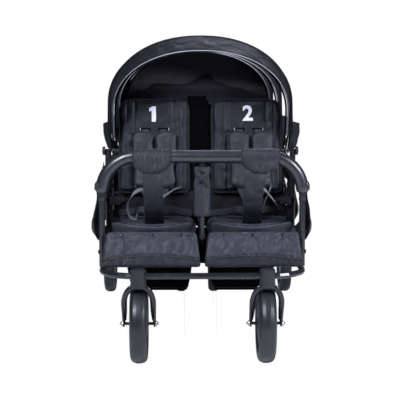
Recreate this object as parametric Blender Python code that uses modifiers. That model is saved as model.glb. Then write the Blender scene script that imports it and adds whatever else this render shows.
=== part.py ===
"""Six-seat stroller: three rows of two seats on one low frame, with hoods, bumper bars and a push handle.

Metres, +Z up. The front of the stroller faces -Y, X = 0 is its plane of symmetry, and the origin is on
the floor under the middle of its length. Each named object is one separate piece.
"""

from math import asin, cos, pi, radians, sin, tan

import bmesh
import bpy
from mathutils import Matrix, Vector

# Sides and clearances
SIDES = {"left": -1, "right": 1}
ROWS = (1, 2, 3)
GAP = 0.0003
RUN_GAP = 0.0004
CUT_MARGIN = 0.005
WELD_DISTANCE = 0.00001

# Lengthwise layout, measured from the front wheel axle
ROW_PITCH = 0.43
FIRST_ROW_Y = 0.02
WHEELBASE = 1.15
CASTER_TRAIL = 0.06
BAR_SETBACK = 0.04
HINGE_SETBACK = 0.37
POST_SETBACK = 0.385

# Wheels
WHEEL_RADIUS = 0.125
WHEEL_FACETS = 20
FRONT_TYRE_WIDTH = 0.055
FRONT_WHEEL_X = 0.20
REAR_TYRE_WIDTH = 0.045
OUTER_WHEEL_OUTSIDE_RAIL = 0.0395
REAR_INNER_X = 0.067
TYRE_DEPTH = 0.034
TREAD_BAND = 0.014
RIM_WEB = 0.012
RIM_DEPTH = 0.014
HUB_FLARE = 0.008
HUB_RADIUS = 0.018
FRONT_HUB_LENGTH = 0.060
REAR_HUB_LENGTH = 0.040

# Frame tubes
FRAME_HALF_WIDTH = 0.318
RAIL_Z = 0.288
FRONT_TUBE_RADIUS = 0.010
FRONT_TUBE_BEND = 0.11
FRONT_TUBE_REACH = 0.26
RAIL_RADIUS = 0.012
RAIL_SOCKET = 0.03
RAIL_PAST_LAST_FOOT = 0.014
UPRIGHT_FOOT_BEHIND_POST = 0.040
POST_RADIUS = 0.010
REAR_POST_SHARE = 1.02
SEAT_TUBE_SHARE = 0.98
SEAT_TUBE_Z = 0.345
SEAT_TUBE_BOW = 0.035
SEAT_TUBE_BEND = 0.03
POST_TOP_OVER_PIVOT = 0.006

# Caster
HOUSING_RADIUS = 0.0245
HOUSING_BOTTOM_Z = 0.254
HOUSING_TOP_Z = 0.305
STEM_RADIUS = 0.008
STEM_TOP_Z = 0.273
CROWN_Z = 0.2486
CROWN_RADIUS = 0.0055
LEG_RADIUS = 0.0066
LEG_TIP_RADIUS = 0.0050
FORK_HALF_WIDTH = 0.048
FORK_BEND = 0.045
FORK_FOOT_BEND = 0.020
FORK_CROWN_BEND = 0.0405
FORK_LEG_TURN_Z = 0.195
FRONT_PIN_RADIUS = 0.005
DROPOUT_RADIUS = 0.011
DROPOUT_THICKNESS = 0.005
AXLE_NUT_RADIUS = 0.008
AXLE_NUT_LENGTH = 0.006
AXLE_NUT_SUNK = 0.001

# Rear axle and brake
AXLE_RADIUS = 0.008
HANGER_INSIDE_RAIL = 0.0045
HANGER_THICKNESS = 0.016
HANGER_HALF_LENGTH = 0.022
HANGER_SHOULDER = 0.030
HANGER_DROP = 0.012
HANGER_FOOT_SHARE = 0.6
COLLAR_RADIUS = 0.013
COLLAR_LENGTH = 0.006
AXLE_CAP_LENGTH = 0.004
BRAKE_AHEAD = 0.068
BRAKE_Z = 0.250
BRAKE_ROD_RADIUS = 0.006
BRAKE_ROD_PAST_HANGER = 0.002
BRAKE_SHOE_THICKNESS = 0.010
BRAKE_EAR_RADIUS = 0.014
BRAKE_SHOE_REACH = 0.0175
BRAKE_SHOE_ANGLE = 62
BRAKE_SHOE_WIDTH = 0.026
PEDAL_WIDTH = 0.075
PEDAL_REACH = 0.085
PEDAL_THICKNESS = 0.008
PEDAL_DROOP = 22

# Seats
CUSHION_FRONT = 0.042
CUSHION_REAR = 0.385
CUSHION_INNER_X = 0.012
CUSHION_INSIDE_FRAME = 0.018
CUSHION_THICKNESS = 0.040
CUSHION_CROWN = 0.016
CUSHION_PINCH = 0.008
SEWN_WITHIN = 0.02
WALL_THICKNESS = 0.003
WALL_INSIDE_POST = 0.022
WALL_FRONT_Z = 0.545
WALL_REAR_Z = 0.600
WALL_SAG = 0.030
WALL_FOOT_RISE = 0.024
WALL_IN_CUSHION = 0.016
WALL_TOP_OUT = 0.0145
WALL_END_SHARE = 0.55
WALL_COLUMNS = 6
WALL_BULGE = ((0.0, 0.004), (0.10, 0.032), (0.26, 0.040), (0.50, 0.033), (0.75, 0.021), (1.0, WALL_TOP_OUT))
BACK_PAD_INNER_X = 0.0345
BACK_PAD_PAST_HOOP = 0.0095
BACK_PAD_THICKNESS = 0.030
BACK_PAD_CROWN = 0.008
BACK_PAD_PINCH = 0.004
BACK_CHANNEL_DEPTH = 0.005
BACK_PAD_LOW = 0.013
BACK_PAD_TOP_Z = 0.80
BACK_LEAN = 12
HINGE_Z = 0.470
HOOP_INSIDE_FRAME = 0.050
HOOP_RADIUS = 0.007
HOOP_HEIGHT = 0.27
HOOP_BEND = 0.06
HINGE_EYE_RADIUS = 0.011
HINGE_PIN_RADIUS = 0.004
HINGE_PIN_IN_PLATE = 0.004
HINGE_PLATE_HEIGHT = 0.028
BRACKET_PAST_POST = 0.004
CALF_TOP_Z = 0.402
CALF_BOTTOM_Z = 0.306
CALF_TOP_Y = 0.036
CALF_BOTTOM_Y = -0.014
CALF_THICKNESS = 0.022
CALF_INNER_X = 0.001
CALF_PAST_FRAME = 0.003
CALF_CROWN = 0.008
CALF_PINCH = 0.004

# Footwells of the second and third rows
WELL_INNER_X = 0.022
WELL_INSIDE_FRAME = 0.056
WELL_BEHIND_BAR = 0.015
WELL_LENGTH = 0.150
WELL_BOTTOM_Z = 0.160
WELL_TOP_Z = 0.330
WELL_WALL = 0.004
WELL_TAPER = 0.022
WELL_STRAP_WIDTH = 0.030
WELL_STRAP_OFF_RAIL = 0.002
WELL_FLOOR_BAND = 0.050

# Bumper bars and centre posts
BAR_Z = 0.648
BAR_FOAM_RADIUS = 0.0205
BAR_BEND = 0.11
BAR_FOAM_END_Z = 0.536
BAR_SOCKET_Z = 0.530
BAR_COLLAR_RADIUS = 0.0125
BAR_COLLAR_IN_FOAM = 0.004
BAR_PLUG_RADIUS = 0.0062
BAR_PLUG_LENGTH = 0.040
BAR_BUTTON_RADIUS = 0.007
BAR_BUTTON_PROUD = 0.006
BAR_BUTTON_RISE = 0.006
CENTRE_POST_RADIUS = 0.0085
SLEEVE_HALF_WIDTH = 0.0270
SLEEVE_HALF_DEPTH = 0.0125
SLEEVE_BOTTOM_Z = 0.460
SLEEVE_TOP_Z = 0.617
CENTRE_POST_BEND_Z = 0.392
CENTRE_POST_FOOT_RISE = 0.016
CENTRE_POST_FOOT_BEND = 0.008
CENTRE_POST_BEND = 0.020

# Hoods: bows turn about one cross axis, and the panels are turned surfaces about it
HOOD_PIVOT_Z = 0.640
HOOD_ARCH = 0.228
HOOD_REAR_RADIUS = 0.3965
HOOD_PAST_FRAME = 0.0005
HOOD_STEP_RADIUS = 0.010
HOOD_STEP_WIDTH = 0.0110
HOOD_FRONT_ANGLE = 22
HOOD_MID_ANGLE = 4
HOOD_REAR_ANGLE = -15
HOOD_LOW_RADIUS = 0.057
HOOD_CLOTH = 0.003
BOW_RADIUS = 0.003
BOW_TUCK = 0.02
BOW_EYE_RADIUS = 0.009
BOW_EYE_THICKNESS = 0.006
BOW_EYE_SPACING = 0.0085
BOW_EYE_INSIDE_FRAME = 0.016
HOOD_PIN_RADIUS = 0.004
HOOD_PIN_PAST_EYE = 0.001
HOOD_CURTAIN_LOW = 0.20
DRAPE_INSIDE_HUB = 0.003
DRAPE_LAP = 0.006
DRAPE_FALL = ((0.011, 0.160), (0.016, 0.080), (0.016, -0.190), (0.005, -0.275))

# Push handle
HANDLE_HINGE_Y = 1.36
HANDLE_HINGE_Z = 0.72
GRIP_Y = 1.54
GRIP_Z = 0.975
HANDLE_INSIDE_FRAME = 0.022
HANDLE_RADIUS = 0.009
HANDLE_BEND = 0.08
HANDLE_CROSS_RISE = 0.050
HANDLE_HUB_RADIUS = 0.018
HANDLE_HUB_THICKNESS = 0.018
HANDLE_PIN_RADIUS = 0.005
GRIP_RADIUS = 0.016
GRIP_HALF_LENGTH = 0.205
UPRIGHT_RADIUS = 0.011

# The origin lies under the middle of the overall length
MIDDLE_Y = (GRIP_Y + GRIP_RADIUS - WHEEL_RADIUS) / 2
FRONT_AXLE_Y = -MIDDLE_Y
SWIVEL_Y = FRONT_AXLE_Y - CASTER_TRAIL
REAR_AXLE_Y = FRONT_AXLE_Y + WHEELBASE
UPRIGHT_FOOT_Y = FRONT_AXLE_Y + FIRST_ROW_Y + 2 * ROW_PITCH + POST_SETBACK + UPRIGHT_FOOT_BEHIND_POST
RAIL_END_Y = UPRIGHT_FOOT_Y + RAIL_PAST_LAST_FOOT
HANDLE_HINGE = Vector((0, FRONT_AXLE_Y + HANDLE_HINGE_Y, HANDLE_HINGE_Z))
GRIP_CENTRE = Vector((0, FRONT_AXLE_Y + GRIP_Y, GRIP_Z))
CUSHION_BOTTOM_Z = SEAT_TUBE_Z + POST_RADIUS + GAP

# Widths that follow from the frame's
REAR_OUTER_X = FRAME_HALF_WIDTH + OUTER_WHEEL_OUTSIDE_RAIL
HANGER_X = FRAME_HALF_WIDTH - HANGER_INSIDE_RAIL
CUSHION_OUTER_X = FRAME_HALF_WIDTH - CUSHION_INSIDE_FRAME
HOOP_X = FRAME_HALF_WIDTH - HOOP_INSIDE_FRAME
BACK_PAD_OUTER_X = HOOP_X + BACK_PAD_PAST_HOOP
BACK_PAD_WIDTH = BACK_PAD_OUTER_X - BACK_PAD_INNER_X
BACK_PAD_X = (BACK_PAD_OUTER_X + BACK_PAD_INNER_X) / 2
CALF_OUTER_X = FRAME_HALF_WIDTH + CALF_PAST_FRAME
WELL_OUTER_X = FRAME_HALF_WIDTH - WELL_INSIDE_FRAME
HOOD_REAR_HALF_WIDTH = FRAME_HALF_WIDTH + HOOD_PAST_FRAME
BOW_EYE_OUTER_X = FRAME_HALF_WIDTH - BOW_EYE_INSIDE_FRAME
HANDLE_X = FRAME_HALF_WIDTH - HANDLE_INSIDE_FRAME
DRAPE_HALF_WIDTH = HANDLE_X - HANDLE_HUB_THICKNESS / 2 - DRAPE_INSIDE_HUB

COLOURS = {
    "tube": ((0.012, 0.012, 0.014), 0.32, 0.4),
    "plastic": ((0.016, 0.016, 0.018), 0.45, 0.0),
    "tyre": ((0.020, 0.020, 0.023), 0.55, 0.0),
    "rim": ((0.025, 0.025, 0.028), 0.40, 0.0),
    "cushion": ((0.030, 0.030, 0.036), 0.85, 0.0),
    "hood": ((0.026, 0.026, 0.032), 0.80, 0.0),
    "foam": ((0.015, 0.015, 0.018), 0.75, 0.0),
    "sleeve": ((0.030, 0.030, 0.036), 0.85, 0.0),
}

for old in list(bpy.data.objects):
    bpy.data.objects.remove(old, do_unlink=True)

PARTS = bpy.data.collections.new("six_seat_stroller")
CUTTERS = bpy.data.collections.new("cutters")
bpy.context.scene.collection.children.link(PARTS)
bpy.context.scene.collection.children.link(CUTTERS)


def material(kind):
    """One Principled material for each kind of surface."""
    found = bpy.data.materials.get(kind)
    if found:
        return found
    colour, roughness, metallic = COLOURS[kind]
    made = bpy.data.materials.new(kind)
    made.use_nodes = True
    shader = made.node_tree.nodes["Principled BSDF"]
    shader.inputs["Base Color"].default_value = (*colour, 1)
    shader.inputs["Roughness"].default_value = roughness
    shader.inputs["Metallic"].default_value = metallic
    return made


def row_y(row):
    """The front reference plane of a row of seats."""
    return FRONT_AXLE_Y + FIRST_ROW_Y + (row - 1) * ROW_PITCH


def bar_y(row):
    return row_y(row) + BAR_SETBACK


def post_y(row):
    return row_y(row) + POST_SETBACK


def hinge_point(row):
    return Vector((0, row_y(row) + HINGE_SETBACK, HINGE_Z))


def hood_pivot(row):
    return Vector((0, post_y(row), HOOD_PIVOT_Z))


# Object makers

def add(obj, kind, collection=PARTS):
    """Put an object in its collection with its material."""
    collection.objects.link(obj)
    obj.data.materials.clear()
    obj.data.materials.append(material(kind))
    return obj


def smooth(mesh, angle=40):
    mesh.shade_smooth()
    mesh.set_sharp_from_angle(angle=radians(angle))


def mesh_object(name, bm, kind="plastic", collection=PARTS, angle=40):
    """Turn a bmesh into an object."""
    bmesh.ops.recalc_face_normals(bm, faces=bm.faces)
    mesh = bpy.data.meshes.new(name)
    bm.to_mesh(mesh)
    bm.free()
    smooth(mesh, angle)
    return add(bpy.data.objects.new(name, mesh), kind, collection)


def rounded(corners, bends, steps=5):
    """Points along a path of straight runs whose inner corners are arcs of the given radii."""
    points = [Vector(corners[0])]
    for before, corner, after, bend in zip(corners, corners[1:], corners[2:], bends):
        corner = Vector(corner)
        into = (corner - Vector(before)).normalized()
        out = (Vector(after) - corner).normalized()
        turn = into.angle(out)
        reach = bend * sin(turn / 2) / cos(turn / 2)
        start = corner - into * reach
        inward = (out - into * into.dot(out)).normalized()
        centre = start + inward * bend
        for step in range(steps + 1):
            angle = turn * step / steps
            points.append(centre - inward * bend * cos(angle) + into * bend * sin(angle))
    points.append(Vector(corners[-1]))
    return points


def tube_curve(name, points, radius, resolution, radii):
    """A round tube along the points, with filled ends."""
    curve = bpy.data.curves.new(name, "CURVE")
    curve.dimensions = "3D"
    curve.bevel_depth = radius
    curve.bevel_resolution = resolution
    curve.use_fill_caps = True
    curve.twist_mode = "MINIMUM"
    curve.resolution_u = 1
    curve.render_resolution_u = 0
    spline = curve.splines.new("POLY")
    spline.points.add(len(points) - 1)
    for index, point in enumerate(points):
        spline.points[index].co = (*point, 1)
        spline.points[index].radius = radii[index] / radius if radii else 1
    return bpy.data.objects.new(name, curve)


def tube_mesh(name, points, radius, kind, collection=PARTS, resolution=2, radii=None):
    """The same tube as a closed mesh, ready for cuts and unions."""
    source = tube_curve(name + "_line", points, radius, resolution, radii)
    bpy.context.scene.collection.objects.link(source)
    bpy.context.view_layer.update()
    graph = bpy.context.evaluated_depsgraph_get()
    mesh = bpy.data.meshes.new_from_object(source.evaluated_get(graph))
    place = source.matrix_world.copy()
    bpy.data.objects.remove(source, do_unlink=True)
    bm = bmesh.new()
    bm.from_mesh(mesh)
    bpy.data.meshes.remove(mesh)
    bmesh.ops.remove_doubles(bm, verts=bm.verts, dist=WELD_DISTANCE)
    obj = mesh_object(name, bm, kind, collection)
    obj.matrix_world = place
    return obj


def cylinder(name, centre, axis, radius, length, kind, collection=PARTS, facets=12):
    """A solid cylinder centred on a point, along an axis."""
    bm = bmesh.new()
    bmesh.ops.create_cone(bm, cap_ends=True, segments=facets, radius1=radius, radius2=radius, depth=length)
    obj = mesh_object(name, bm, kind, collection)
    turn = Vector((0, 0, 1)).rotation_difference(Vector(axis)).to_matrix().to_4x4()
    obj.data.transform(Matrix.Translation(centre) @ turn)
    return obj


def drill(centre, axis, radius, length, facets=12):
    """A cutter for a round hole, whose flats lie at the hole's radius."""
    return cylinder("drill", centre, axis, radius / cos(pi / facets), length, "tube", CUTTERS, facets)


def block(name, low, high, kind, collection=PARTS):
    """A rectangular block between two corners."""
    bm = bmesh.new()
    bmesh.ops.create_cube(bm, size=1)
    low = Vector(low)
    high = Vector(high)
    for vert in bm.verts:
        vert.co = Vector([low[k] + (vert.co[k] + 0.5) * (high[k] - low[k]) for k in range(3)])
    return mesh_object(name, bm, kind, collection)


def plate(name, outline, x_low, x_high, kind, collection=PARTS):
    """A flat plate: an outline of (y, z) points given a thickness along X."""
    bm = bmesh.new()
    verts = [bm.verts.new((x_low, y, z)) for y, z in outline]
    face = bm.faces.new(verts)
    grown = bmesh.ops.extrude_face_region(bm, geom=[face])
    moved = [item for item in grown["geom"] if isinstance(item, bmesh.types.BMVert)]
    bmesh.ops.translate(bm, verts=moved, vec=(x_high - x_low, 0, 0))
    return mesh_object(name, bm, kind, collection)


def apply_modifiers(obj):
    """Keep the evaluated mesh and drop the modifiers that made it."""
    bpy.context.view_layer.update()
    graph = bpy.context.evaluated_depsgraph_get()
    made = bpy.data.meshes.new_from_object(obj.evaluated_get(graph))
    old = obj.data
    obj.modifiers.clear()
    obj.data = made
    bpy.data.meshes.remove(old)
    made.name = obj.name


def combine(obj, others, operation):
    """Join or cut with other objects, which are removed afterwards."""
    for other in others:
        step = obj.modifiers.new("step", "BOOLEAN")
        step.operation = operation
        step.solver = "EXACT"
        step.object = other
        apply_modifiers(obj)
        bpy.data.objects.remove(other, do_unlink=True)
    smooth(obj.data)
    return obj


def join(obj, *others):
    return combine(obj, others, "UNION")


def cut(obj, *others):
    return combine(obj, others, "DIFFERENCE")


def set_origin(obj, point):
    """Move the origin onto a joint's axis without moving the shape."""
    obj.data.transform(Matrix.Translation(-Vector(point)))
    obj.location = point


def turned(name, profile, kind, facets=WHEEL_FACETS):
    """A ring turned about the X axis from a closed profile of (x, radius) points, a flat at the bottom."""
    bm = bmesh.new()
    verts = [bm.verts.new((x, 0, -radius / cos(pi / facets))) for x, radius in profile]
    edges = [bm.edges.new((verts[k], verts[(k + 1) % len(verts)])) for k in range(len(verts))]
    bmesh.ops.rotate(bm, verts=verts, cent=(0, 0, 0), matrix=Matrix.Rotation(pi / facets, 3, "X"))
    bmesh.ops.spin(bm, geom=verts + edges, axis=(1, 0, 0), cent=(0, 0, 0), angle=2 * pi, steps=facets,
                   use_merge=True)
    bmesh.ops.remove_doubles(bm, verts=bm.verts, dist=WELD_DISTANCE)
    return mesh_object(name, bm, kind)


def tyre_profile(width, inner_radius):
    """A round-shouldered tyre with a narrow flat tread band."""
    half = width / 2
    shoulder = []
    for step in range(3):
        angle = radians(90 * step / 2)
        x = TREAD_BAND / 2 + (half - TREAD_BAND / 2) * sin(angle)
        shoulder.append((x, WHEEL_RADIUS - half * 0.75 * (1 - cos(angle))))
    outer = [(-x, radius) for x, radius in reversed(shoulder)] + shoulder
    bead = half * 0.62
    return outer + [(bead, inner_radius), (-bead, inner_radius)]


def rim_profile(rim_radius, rim_half, hub_half, bore):
    """A rim, a thin web and a hub in one section."""
    return [
        (rim_half, rim_radius),
        (RIM_WEB / 2, rim_radius - RIM_DEPTH),
        (RIM_WEB / 2, HUB_RADIUS + HUB_FLARE),
        (hub_half, HUB_RADIUS),
        (hub_half, bore),
        (-hub_half, bore),
        (-hub_half, HUB_RADIUS),
        (-RIM_WEB / 2, HUB_RADIUS + HUB_FLARE),
        (-RIM_WEB / 2, rim_radius - RIM_DEPTH),
        (-rim_half, rim_radius),
    ]


def front_wheels():
    seat = WHEEL_RADIUS - TYRE_DEPTH
    for side, sign in SIDES.items():
        place = Vector((sign * FRONT_WHEEL_X, FRONT_AXLE_Y, WHEEL_RADIUS))
        tyre = turned("front_tyre_" + side, tyre_profile(FRONT_TYRE_WIDTH, seat), "tyre")
        tyre.location = place
        rim_half = FRONT_TYRE_WIDTH * 0.30
        profile = rim_profile(seat - GAP, rim_half, FRONT_HUB_LENGTH / 2, FRONT_PIN_RADIUS + RUN_GAP)
        rim = turned("front_rim_" + side, profile, "rim")
        rim.location = place


def rear_wheels():
    """Tyre and hub in one turned section for each rear wheel."""
    seat = WHEEL_RADIUS - TYRE_DEPTH
    outer = tyre_profile(REAR_TYRE_WIDTH, seat)[:-2]
    bead = REAR_TYRE_WIDTH * 0.31
    hub = rim_profile(seat, bead, REAR_HUB_LENGTH / 2, AXLE_RADIUS + RUN_GAP)
    profile = outer + hub[1:-1]
    for place_name, offset in (("outer", REAR_OUTER_X), ("inner", REAR_INNER_X)):
        for side, sign in SIDES.items():
            wheel = turned("rear_wheel_{}_{}".format(side, place_name), profile, "tyre")
            wheel.location = (sign * offset, REAR_AXLE_Y, WHEEL_RADIUS)


# Base frame

def front_tube_points():
    side = FRAME_HALF_WIDTH
    rear = SWIVEL_Y + FRONT_TUBE_REACH
    corners = [(-side, rear, RAIL_Z), (-side, SWIVEL_Y, RAIL_Z)]
    corners += [(side, SWIVEL_Y, RAIL_Z), (side, rear, RAIL_Z)]
    return rounded(corners, [FRONT_TUBE_BEND, FRONT_TUBE_BEND], 6)


def front_tube():
    tube_mesh("front_tube", front_tube_points(), FRONT_TUBE_RADIUS, "tube")


def rail_start_y():
    return SWIVEL_Y + FRONT_TUBE_REACH - RAIL_SOCKET


def rail_cutter(sign, clearance):
    length = RAIL_END_Y - SWIVEL_Y
    centre = (sign * FRAME_HALF_WIDTH, (RAIL_END_Y + SWIVEL_Y) / 2, RAIL_Z)
    return drill(centre, (0, 1, 0), RAIL_RADIUS + clearance, length + 0.1)


def side_rails():
    """Straight rails whose drilled front ends hold the ends of the bent front tube."""
    for side, sign in SIDES.items():
        start = rail_start_y()
        centre = (sign * FRAME_HALF_WIDTH, (start + RAIL_END_Y) / 2, RAIL_Z)
        length = RAIL_END_Y - start
        rail = cylinder("side_rail_" + side, centre, (0, 1, 0), RAIL_RADIUS, length, "tube", facets=16)
        depth = RAIL_SOCKET + GAP
        bore_centre = (centre[0], start + depth / 2 - CUT_MARGIN, RAIL_Z)
        bore = drill(bore_centre, (0, 1, 0), FRONT_TUBE_RADIUS + GAP, depth + 2 * CUT_MARGIN, 16)
        cut(rail, bore)


def row_front_frames():
    """Posts for a bumper bar, with the tube under the front of the two cushions."""
    for row in ROWS:
        y = bar_y(row)
        side = FRAME_HALF_WIDTH
        corners = [(-side, y, SEAT_TUBE_Z), (-side, y + SEAT_TUBE_BOW, SEAT_TUBE_Z),
                   (side, y + SEAT_TUBE_BOW, SEAT_TUBE_Z), (side, y, SEAT_TUBE_Z)]
        name = "row{}_front_frame".format(row)
        line = rounded(corners, [SEAT_TUBE_BEND] * 2, 3)
        frame = tube_mesh(name, line, POST_RADIUS * SEAT_TUBE_SHARE, "tube")
        for sign in SIDES.values():
            height = BAR_SOCKET_Z - RAIL_Z
            centre = (sign * side, y, (BAR_SOCKET_Z + RAIL_Z) / 2)
            join(frame, cylinder("post", centre, (0, 0, 1), POST_RADIUS, height, "tube", CUTTERS))
            depth = BAR_PLUG_LENGTH + GAP
            top = (sign * side, y, BAR_SOCKET_Z - depth / 2 + CUT_MARGIN)
            bore = drill(top, (0, 0, 1), BAR_PLUG_RADIUS + RUN_GAP, depth + 2 * CUT_MARGIN)
            cut(frame, bore, rail_cutter(sign, GAP))


def row_rear_frames():
    """Posts that carry the back hinge and the hood pivot, joined by the tube under the cushions' rear."""
    for row in ROWS:
        y = post_y(row)
        side = FRAME_HALF_WIDTH
        name = "row{}_rear_frame".format(row)
        frame = cylinder(name, (0, y, SEAT_TUBE_Z), (1, 0, 0), POST_RADIUS, 2 * side, "tube")
        hinge = hinge_point(row)
        for sign in SIDES.values():
            top = HOOD_PIVOT_Z + POST_TOP_OVER_PIVOT
            centre = (sign * side, y, (top + RAIL_Z) / 2)
            radius = POST_RADIUS * REAR_POST_SHARE
            post = cylinder("post", centre, (0, 0, 1), radius, top - RAIL_Z, "tube", CUTTERS)
            inner = HOOP_X + HOOP_RADIUS + 2 * GAP
            outer = side - POST_RADIUS * 0.5
            plate_low = HINGE_Z - HINGE_PLATE_HEIGHT / 2
            plate_high = HINGE_Z + HINGE_PLATE_HEIGHT / 2
            plate_front = min(hinge.y - HINGE_EYE_RADIUS, y - BRACKET_PAST_POST)
            plate_rear = max(hinge.y + HINGE_EYE_RADIUS, y + BRACKET_PAST_POST)
            low = (min(sign * inner, sign * outer), plate_front, plate_low)
            high = (max(sign * inner, sign * outer), plate_rear, plate_high)
            bracket = block("bracket", low, high, "tube", CUTTERS)
            pin_end = HOOP_X - HOOP_RADIUS
            pin_centre = (sign * (pin_end + inner + HINGE_PIN_IN_PLATE) / 2, hinge.y, HINGE_Z)
            pin_length = inner + HINGE_PIN_IN_PLATE - pin_end
            pin = cylinder("pin", pin_centre, (1, 0, 0), HINGE_PIN_RADIUS, pin_length, "tube", CUTTERS, 10)
            eye_front = BOW_EYE_OUTER_X - 2 * BOW_EYE_SPACING - BOW_EYE_THICKNESS / 2 - HOOD_PIN_PAST_EYE
            hood_pin_centre = (sign * (eye_front + side) / 2, y, HOOD_PIVOT_Z)
            pin_run = side - eye_front
            hood_pin = cylinder("hood_pin", hood_pin_centre, (1, 0, 0), HOOD_PIN_RADIUS, pin_run, "tube",
                                CUTTERS, 10)
            join(frame, post, bracket, pin, hood_pin)
            cut(frame, rail_cutter(sign, GAP))


def caster_housings():
    for side, sign in SIDES.items():
        centre = (sign * FRONT_WHEEL_X, SWIVEL_Y, (HOUSING_BOTTOM_Z + HOUSING_TOP_Z) / 2)
        height = HOUSING_TOP_Z - HOUSING_BOTTOM_Z
        name = "caster_housing_" + side
        housing = cylinder(name, centre, (0, 0, 1), HOUSING_RADIUS, height, "plastic", facets=16)
        depth = STEM_TOP_Z + GAP - HOUSING_BOTTOM_Z
        bore_centre = (centre[0], SWIVEL_Y, HOUSING_BOTTOM_Z + depth / 2 - CUT_MARGIN)
        bore = drill(bore_centre, (0, 0, 1), STEM_RADIUS + RUN_GAP, depth + 2 * CUT_MARGIN, 16)
        tube_cutter = tube_mesh("tube_cutter", front_tube_points(), FRONT_TUBE_RADIUS + GAP, "tube", CUTTERS)
        cut(housing, bore, tube_cutter)


def forks():
    """An arched fork: two tapering legs from the crown back to the axle, with its stem, pin and nuts."""
    for side, sign in SIDES.items():
        x = sign * FRONT_WHEEL_X
        half = FORK_HALF_WIDTH
        turn_y = SWIVEL_Y + CASTER_TRAIL * 0.25
        left_leg = [(-half, FRONT_AXLE_Y, WHEEL_RADIUS), (-half, turn_y, FORK_LEG_TURN_Z),
                    (-half, SWIVEL_Y, CROWN_Z)]
        right_leg = [(-x, y, z) for x, y, z in reversed(left_leg)]
        corners = left_leg + right_leg
        points = rounded(corners, [FORK_FOOT_BEND, FORK_CROWN_BEND, FORK_CROWN_BEND, FORK_FOOT_BEND], 3)
        radii = []
        for point in points:
            rise = min(max((point.z - WHEEL_RADIUS) / (FORK_LEG_TURN_Z - WHEEL_RADIUS), 0), 1)
            over = min(max((point.z - FORK_LEG_TURN_Z) / (CROWN_Z - FORK_LEG_TURN_Z), 0), 1)
            leg = LEG_TIP_RADIUS + (LEG_RADIUS - LEG_TIP_RADIUS) * rise
            radii.append(leg + (CROWN_RADIUS - LEG_RADIUS) * over)
        points = [point + Vector((x, 0, 0)) for point in points]
        fork = tube_mesh("fork_" + side, points, LEG_RADIUS, "tube", radii=radii)
        stem_height = STEM_TOP_Z - CROWN_Z
        stem_centre = (x, SWIVEL_Y, (STEM_TOP_Z + CROWN_Z) / 2)
        stem = cylinder("stem", stem_centre, (0, 0, 1), STEM_RADIUS, stem_height, "tube", CUTTERS, 16)
        join(fork, stem)
        reach = half + DROPOUT_THICKNESS / 2
        wheel_centre = (x, FRONT_AXLE_Y, WHEEL_RADIUS)
        pin = cylinder("pin", wheel_centre, (1, 0, 0), FRONT_PIN_RADIUS, 2 * reach, "tube",
                       CUTTERS, 12)
        join(fork, pin)
        for end in SIDES.values():
            centre = (x + end * half, FRONT_AXLE_Y, WHEEL_RADIUS)
            eye = cylinder("eye", centre, (1, 0, 0), DROPOUT_RADIUS, DROPOUT_THICKNESS, "tube", CUTTERS)
            nut_x = x + end * (reach + AXLE_NUT_LENGTH / 2 - AXLE_NUT_SUNK)
            nut = cylinder("nut", (nut_x, FRONT_AXLE_Y, WHEEL_RADIUS), (1, 0, 0), AXLE_NUT_RADIUS,
                           AXLE_NUT_LENGTH, "tube", CUTTERS, 6)
            join(fork, eye, nut)
        set_origin(fork, (x, SWIVEL_Y, HOUSING_BOTTOM_Z))


def hanger_outline():
    """Side view of the plate that hangs the axle under the rail, with an ear for the brake rod."""
    back = REAR_AXLE_Y + HANGER_HALF_LENGTH
    ear_y = REAR_AXLE_Y + BRAKE_AHEAD
    return [
        (REAR_AXLE_Y - HANGER_HALF_LENGTH, RAIL_Z),
        (REAR_AXLE_Y - HANGER_HALF_LENGTH, WHEEL_RADIUS + HANGER_SHOULDER),
        (REAR_AXLE_Y - HANGER_HALF_LENGTH * HANGER_FOOT_SHARE, WHEEL_RADIUS - HANGER_DROP),
        (REAR_AXLE_Y + HANGER_HALF_LENGTH * HANGER_FOOT_SHARE, WHEEL_RADIUS - HANGER_DROP),
        (back, WHEEL_RADIUS + HANGER_SHOULDER),
        (back, BRAKE_Z - BRAKE_EAR_RADIUS),
        (ear_y + BRAKE_EAR_RADIUS * 0.5, BRAKE_Z - BRAKE_EAR_RADIUS),
        (ear_y + BRAKE_EAR_RADIUS, BRAKE_Z),
        (ear_y + BRAKE_EAR_RADIUS * 0.5, RAIL_Z),
    ]


def rear_axle():
    end = REAR_OUTER_X + REAR_HUB_LENGTH / 2 + RUN_GAP
    axle = cylinder("rear_axle", (0, REAR_AXLE_Y, WHEEL_RADIUS), (1, 0, 0), AXLE_RADIUS,
                    2 * (end + AXLE_CAP_LENGTH / 2), "tube")
    hub_half = REAR_HUB_LENGTH / 2 + RUN_GAP
    for sign in SIDES.values():
        low = sign * HANGER_X - HANGER_THICKNESS / 2
        hanger = plate("hanger", hanger_outline(), low, low + HANGER_THICKNESS, "tube", CUTTERS)
        join(axle, hanger)
        for face in (-1, 1):
            x = sign * REAR_INNER_X + face * (hub_half + COLLAR_LENGTH / 2)
            centre = (x, REAR_AXLE_Y, WHEEL_RADIUS)
            collar = cylinder("collar", centre, (1, 0, 0), COLLAR_RADIUS, COLLAR_LENGTH, "tube", CUTTERS, 8)
            join(axle, collar)
        cap_x = sign * (end + AXLE_CAP_LENGTH / 2)
        centre = (cap_x, REAR_AXLE_Y, WHEEL_RADIUS)
        cap = cylinder("cap", centre, (1, 0, 0), COLLAR_RADIUS, AXLE_CAP_LENGTH, "tube", CUTTERS, 8)
        join(axle, cap)
        ear = (sign * HANGER_X, REAR_AXLE_Y + BRAKE_AHEAD, BRAKE_Z)
        brake_bore = drill(ear, (1, 0, 0), BRAKE_ROD_RADIUS + RUN_GAP, HANGER_THICKNESS * 2)
        cut(axle, brake_bore, rail_cutter(sign, GAP))


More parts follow.
